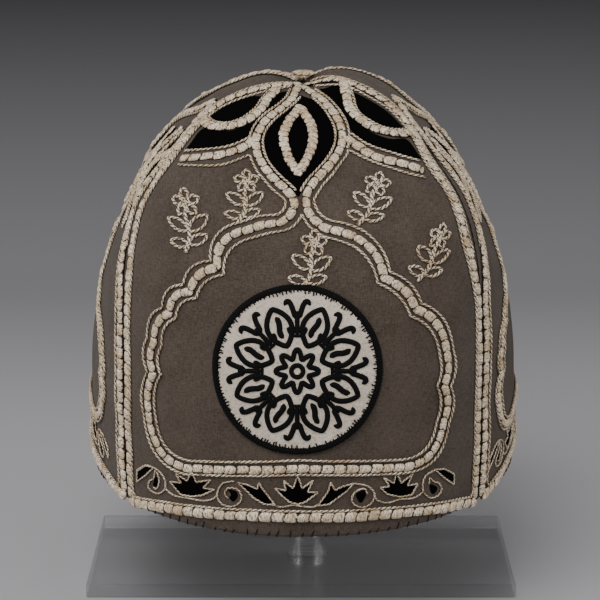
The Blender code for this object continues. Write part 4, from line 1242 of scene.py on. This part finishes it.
class CAP_OT_stage(bpy.types.Operator):
    """Make the pale floor with its curved backdrop, the soft lights and the camera"""
    bl_idname = "cap.stage"
    bl_label = "Stage"

    def execute(self, context):
        stage = context.scene.cap_stage
        # Floor from behind the camera to the back, then a curve of 0.5 m up into the backdrop
        bend, back, front, top, half = 0.5, 0.55, -2.6, 2.2, 3.0
        turn = np.linspace(0, math.pi / 2, 24)
        curve = np.stack((back + bend * np.sin(turn), bend * (1 - np.cos(turn))), -1)
        profile = np.concatenate((((front, 0.0),), curve, ((back + bend, top),)))
        across = np.linspace(-half, half, 9)
        points = np.stack(np.broadcast_arrays(across[None], profile[:, :1], profile[:, 1:] - 0.0002), -1)
        mesh = bpy.data.meshes.new("backdrop")
        quads = grid_quads(*points.shape[:2])[1]
        mesh.from_pydata(points.reshape(-1, 3).tolist(), [], quads.tolist())
        mesh.shade_smooth()
        mesh.materials.append(paper_backdrop(stage))
        floor = bpy.data.objects.new("backdrop", mesh)
        context.scene.collection.objects.link(floor)
        world = bpy.data.worlds.new("studio")
        world.use_nodes = True
        background = world.node_tree.nodes["Background"]
        background.inputs["Color"].default_value = (1.0, 1.0, 1.0, 1.0)
        background.inputs["Strength"].default_value = AMBIENT
        context.scene.world = world
        for name, power, size, place in LIGHTS:
            light = bpy.data.lights.new(name, "AREA")
            light.energy = getattr(stage, power)
            light.size = size
            lamp = bpy.data.objects.new(name, light)
            lamp.location = place
            towards = Vector(LIGHTS_AIM) - Vector(place)
            lamp.rotation_euler = towards.to_track_quat("-Z", "Y").to_euler()
            context.scene.collection.objects.link(lamp)
        camera = bpy.data.cameras.new("camera")
        camera.sensor_width = 36.0
        camera.lens = CAMERA_LENS
        camera.shift_x = CAMERA_SHIFT
        camera.clip_start = 0.05
        eye = bpy.data.objects.new("camera", camera)
        eye.location = CAMERA_PLACE
        eye.rotation_euler = (math.radians(CAMERA_TURN), 0.0, 0.0)
        context.scene.collection.objects.link(eye)
        context.scene.camera = eye
        return {"FINISHED"}


class CAP_PT_panel(bpy.types.Panel):
    """Lists the cap's pieces in the sidebar"""
    bl_idname = "CAP_PT_panel"
    bl_label = "Dervish cap"
    bl_space_type = "VIEW_3D"
    bl_region_type = "UI"
    bl_category = "Cap"

    def draw(self, context):
        for settings in (context.scene.cap_looks, context.scene.cap_stage):
            for name in settings.__annotations__:
                self.layout.prop(settings, name)
        for operator in OPERATORS:
            self.layout.operator(operator.bl_idname)


OPERATORS = (CAP_OT_felt, CAP_OT_couching, CAP_OT_velvet, CAP_OT_chains, CAP_OT_border, CAP_OT_sprigs,
             CAP_OT_roundel, CAP_OT_seams, CAP_OT_stand, CAP_OT_stage)
CLASSES = (CapSettings, StageSettings, *OPERATORS, CAP_PT_panel)


def register():
    for item in CLASSES:
        bpy.utils.register_class(item)
    bpy.types.Scene.cap_looks = bpy.props.PointerProperty(type=CapSettings)
    bpy.types.Scene.cap_stage = bpy.props.PointerProperty(type=StageSettings)


def unregister():
    del bpy.types.Scene.cap_stage
    del bpy.types.Scene.cap_looks
    for item in reversed(CLASSES):
        bpy.utils.unregister_class(item)


def main():
    register()
    for operator in OPERATORS:
        getattr(bpy.ops.cap, operator.bl_idname.split(".")[1])()


if __name__ == "__main__":
    main()
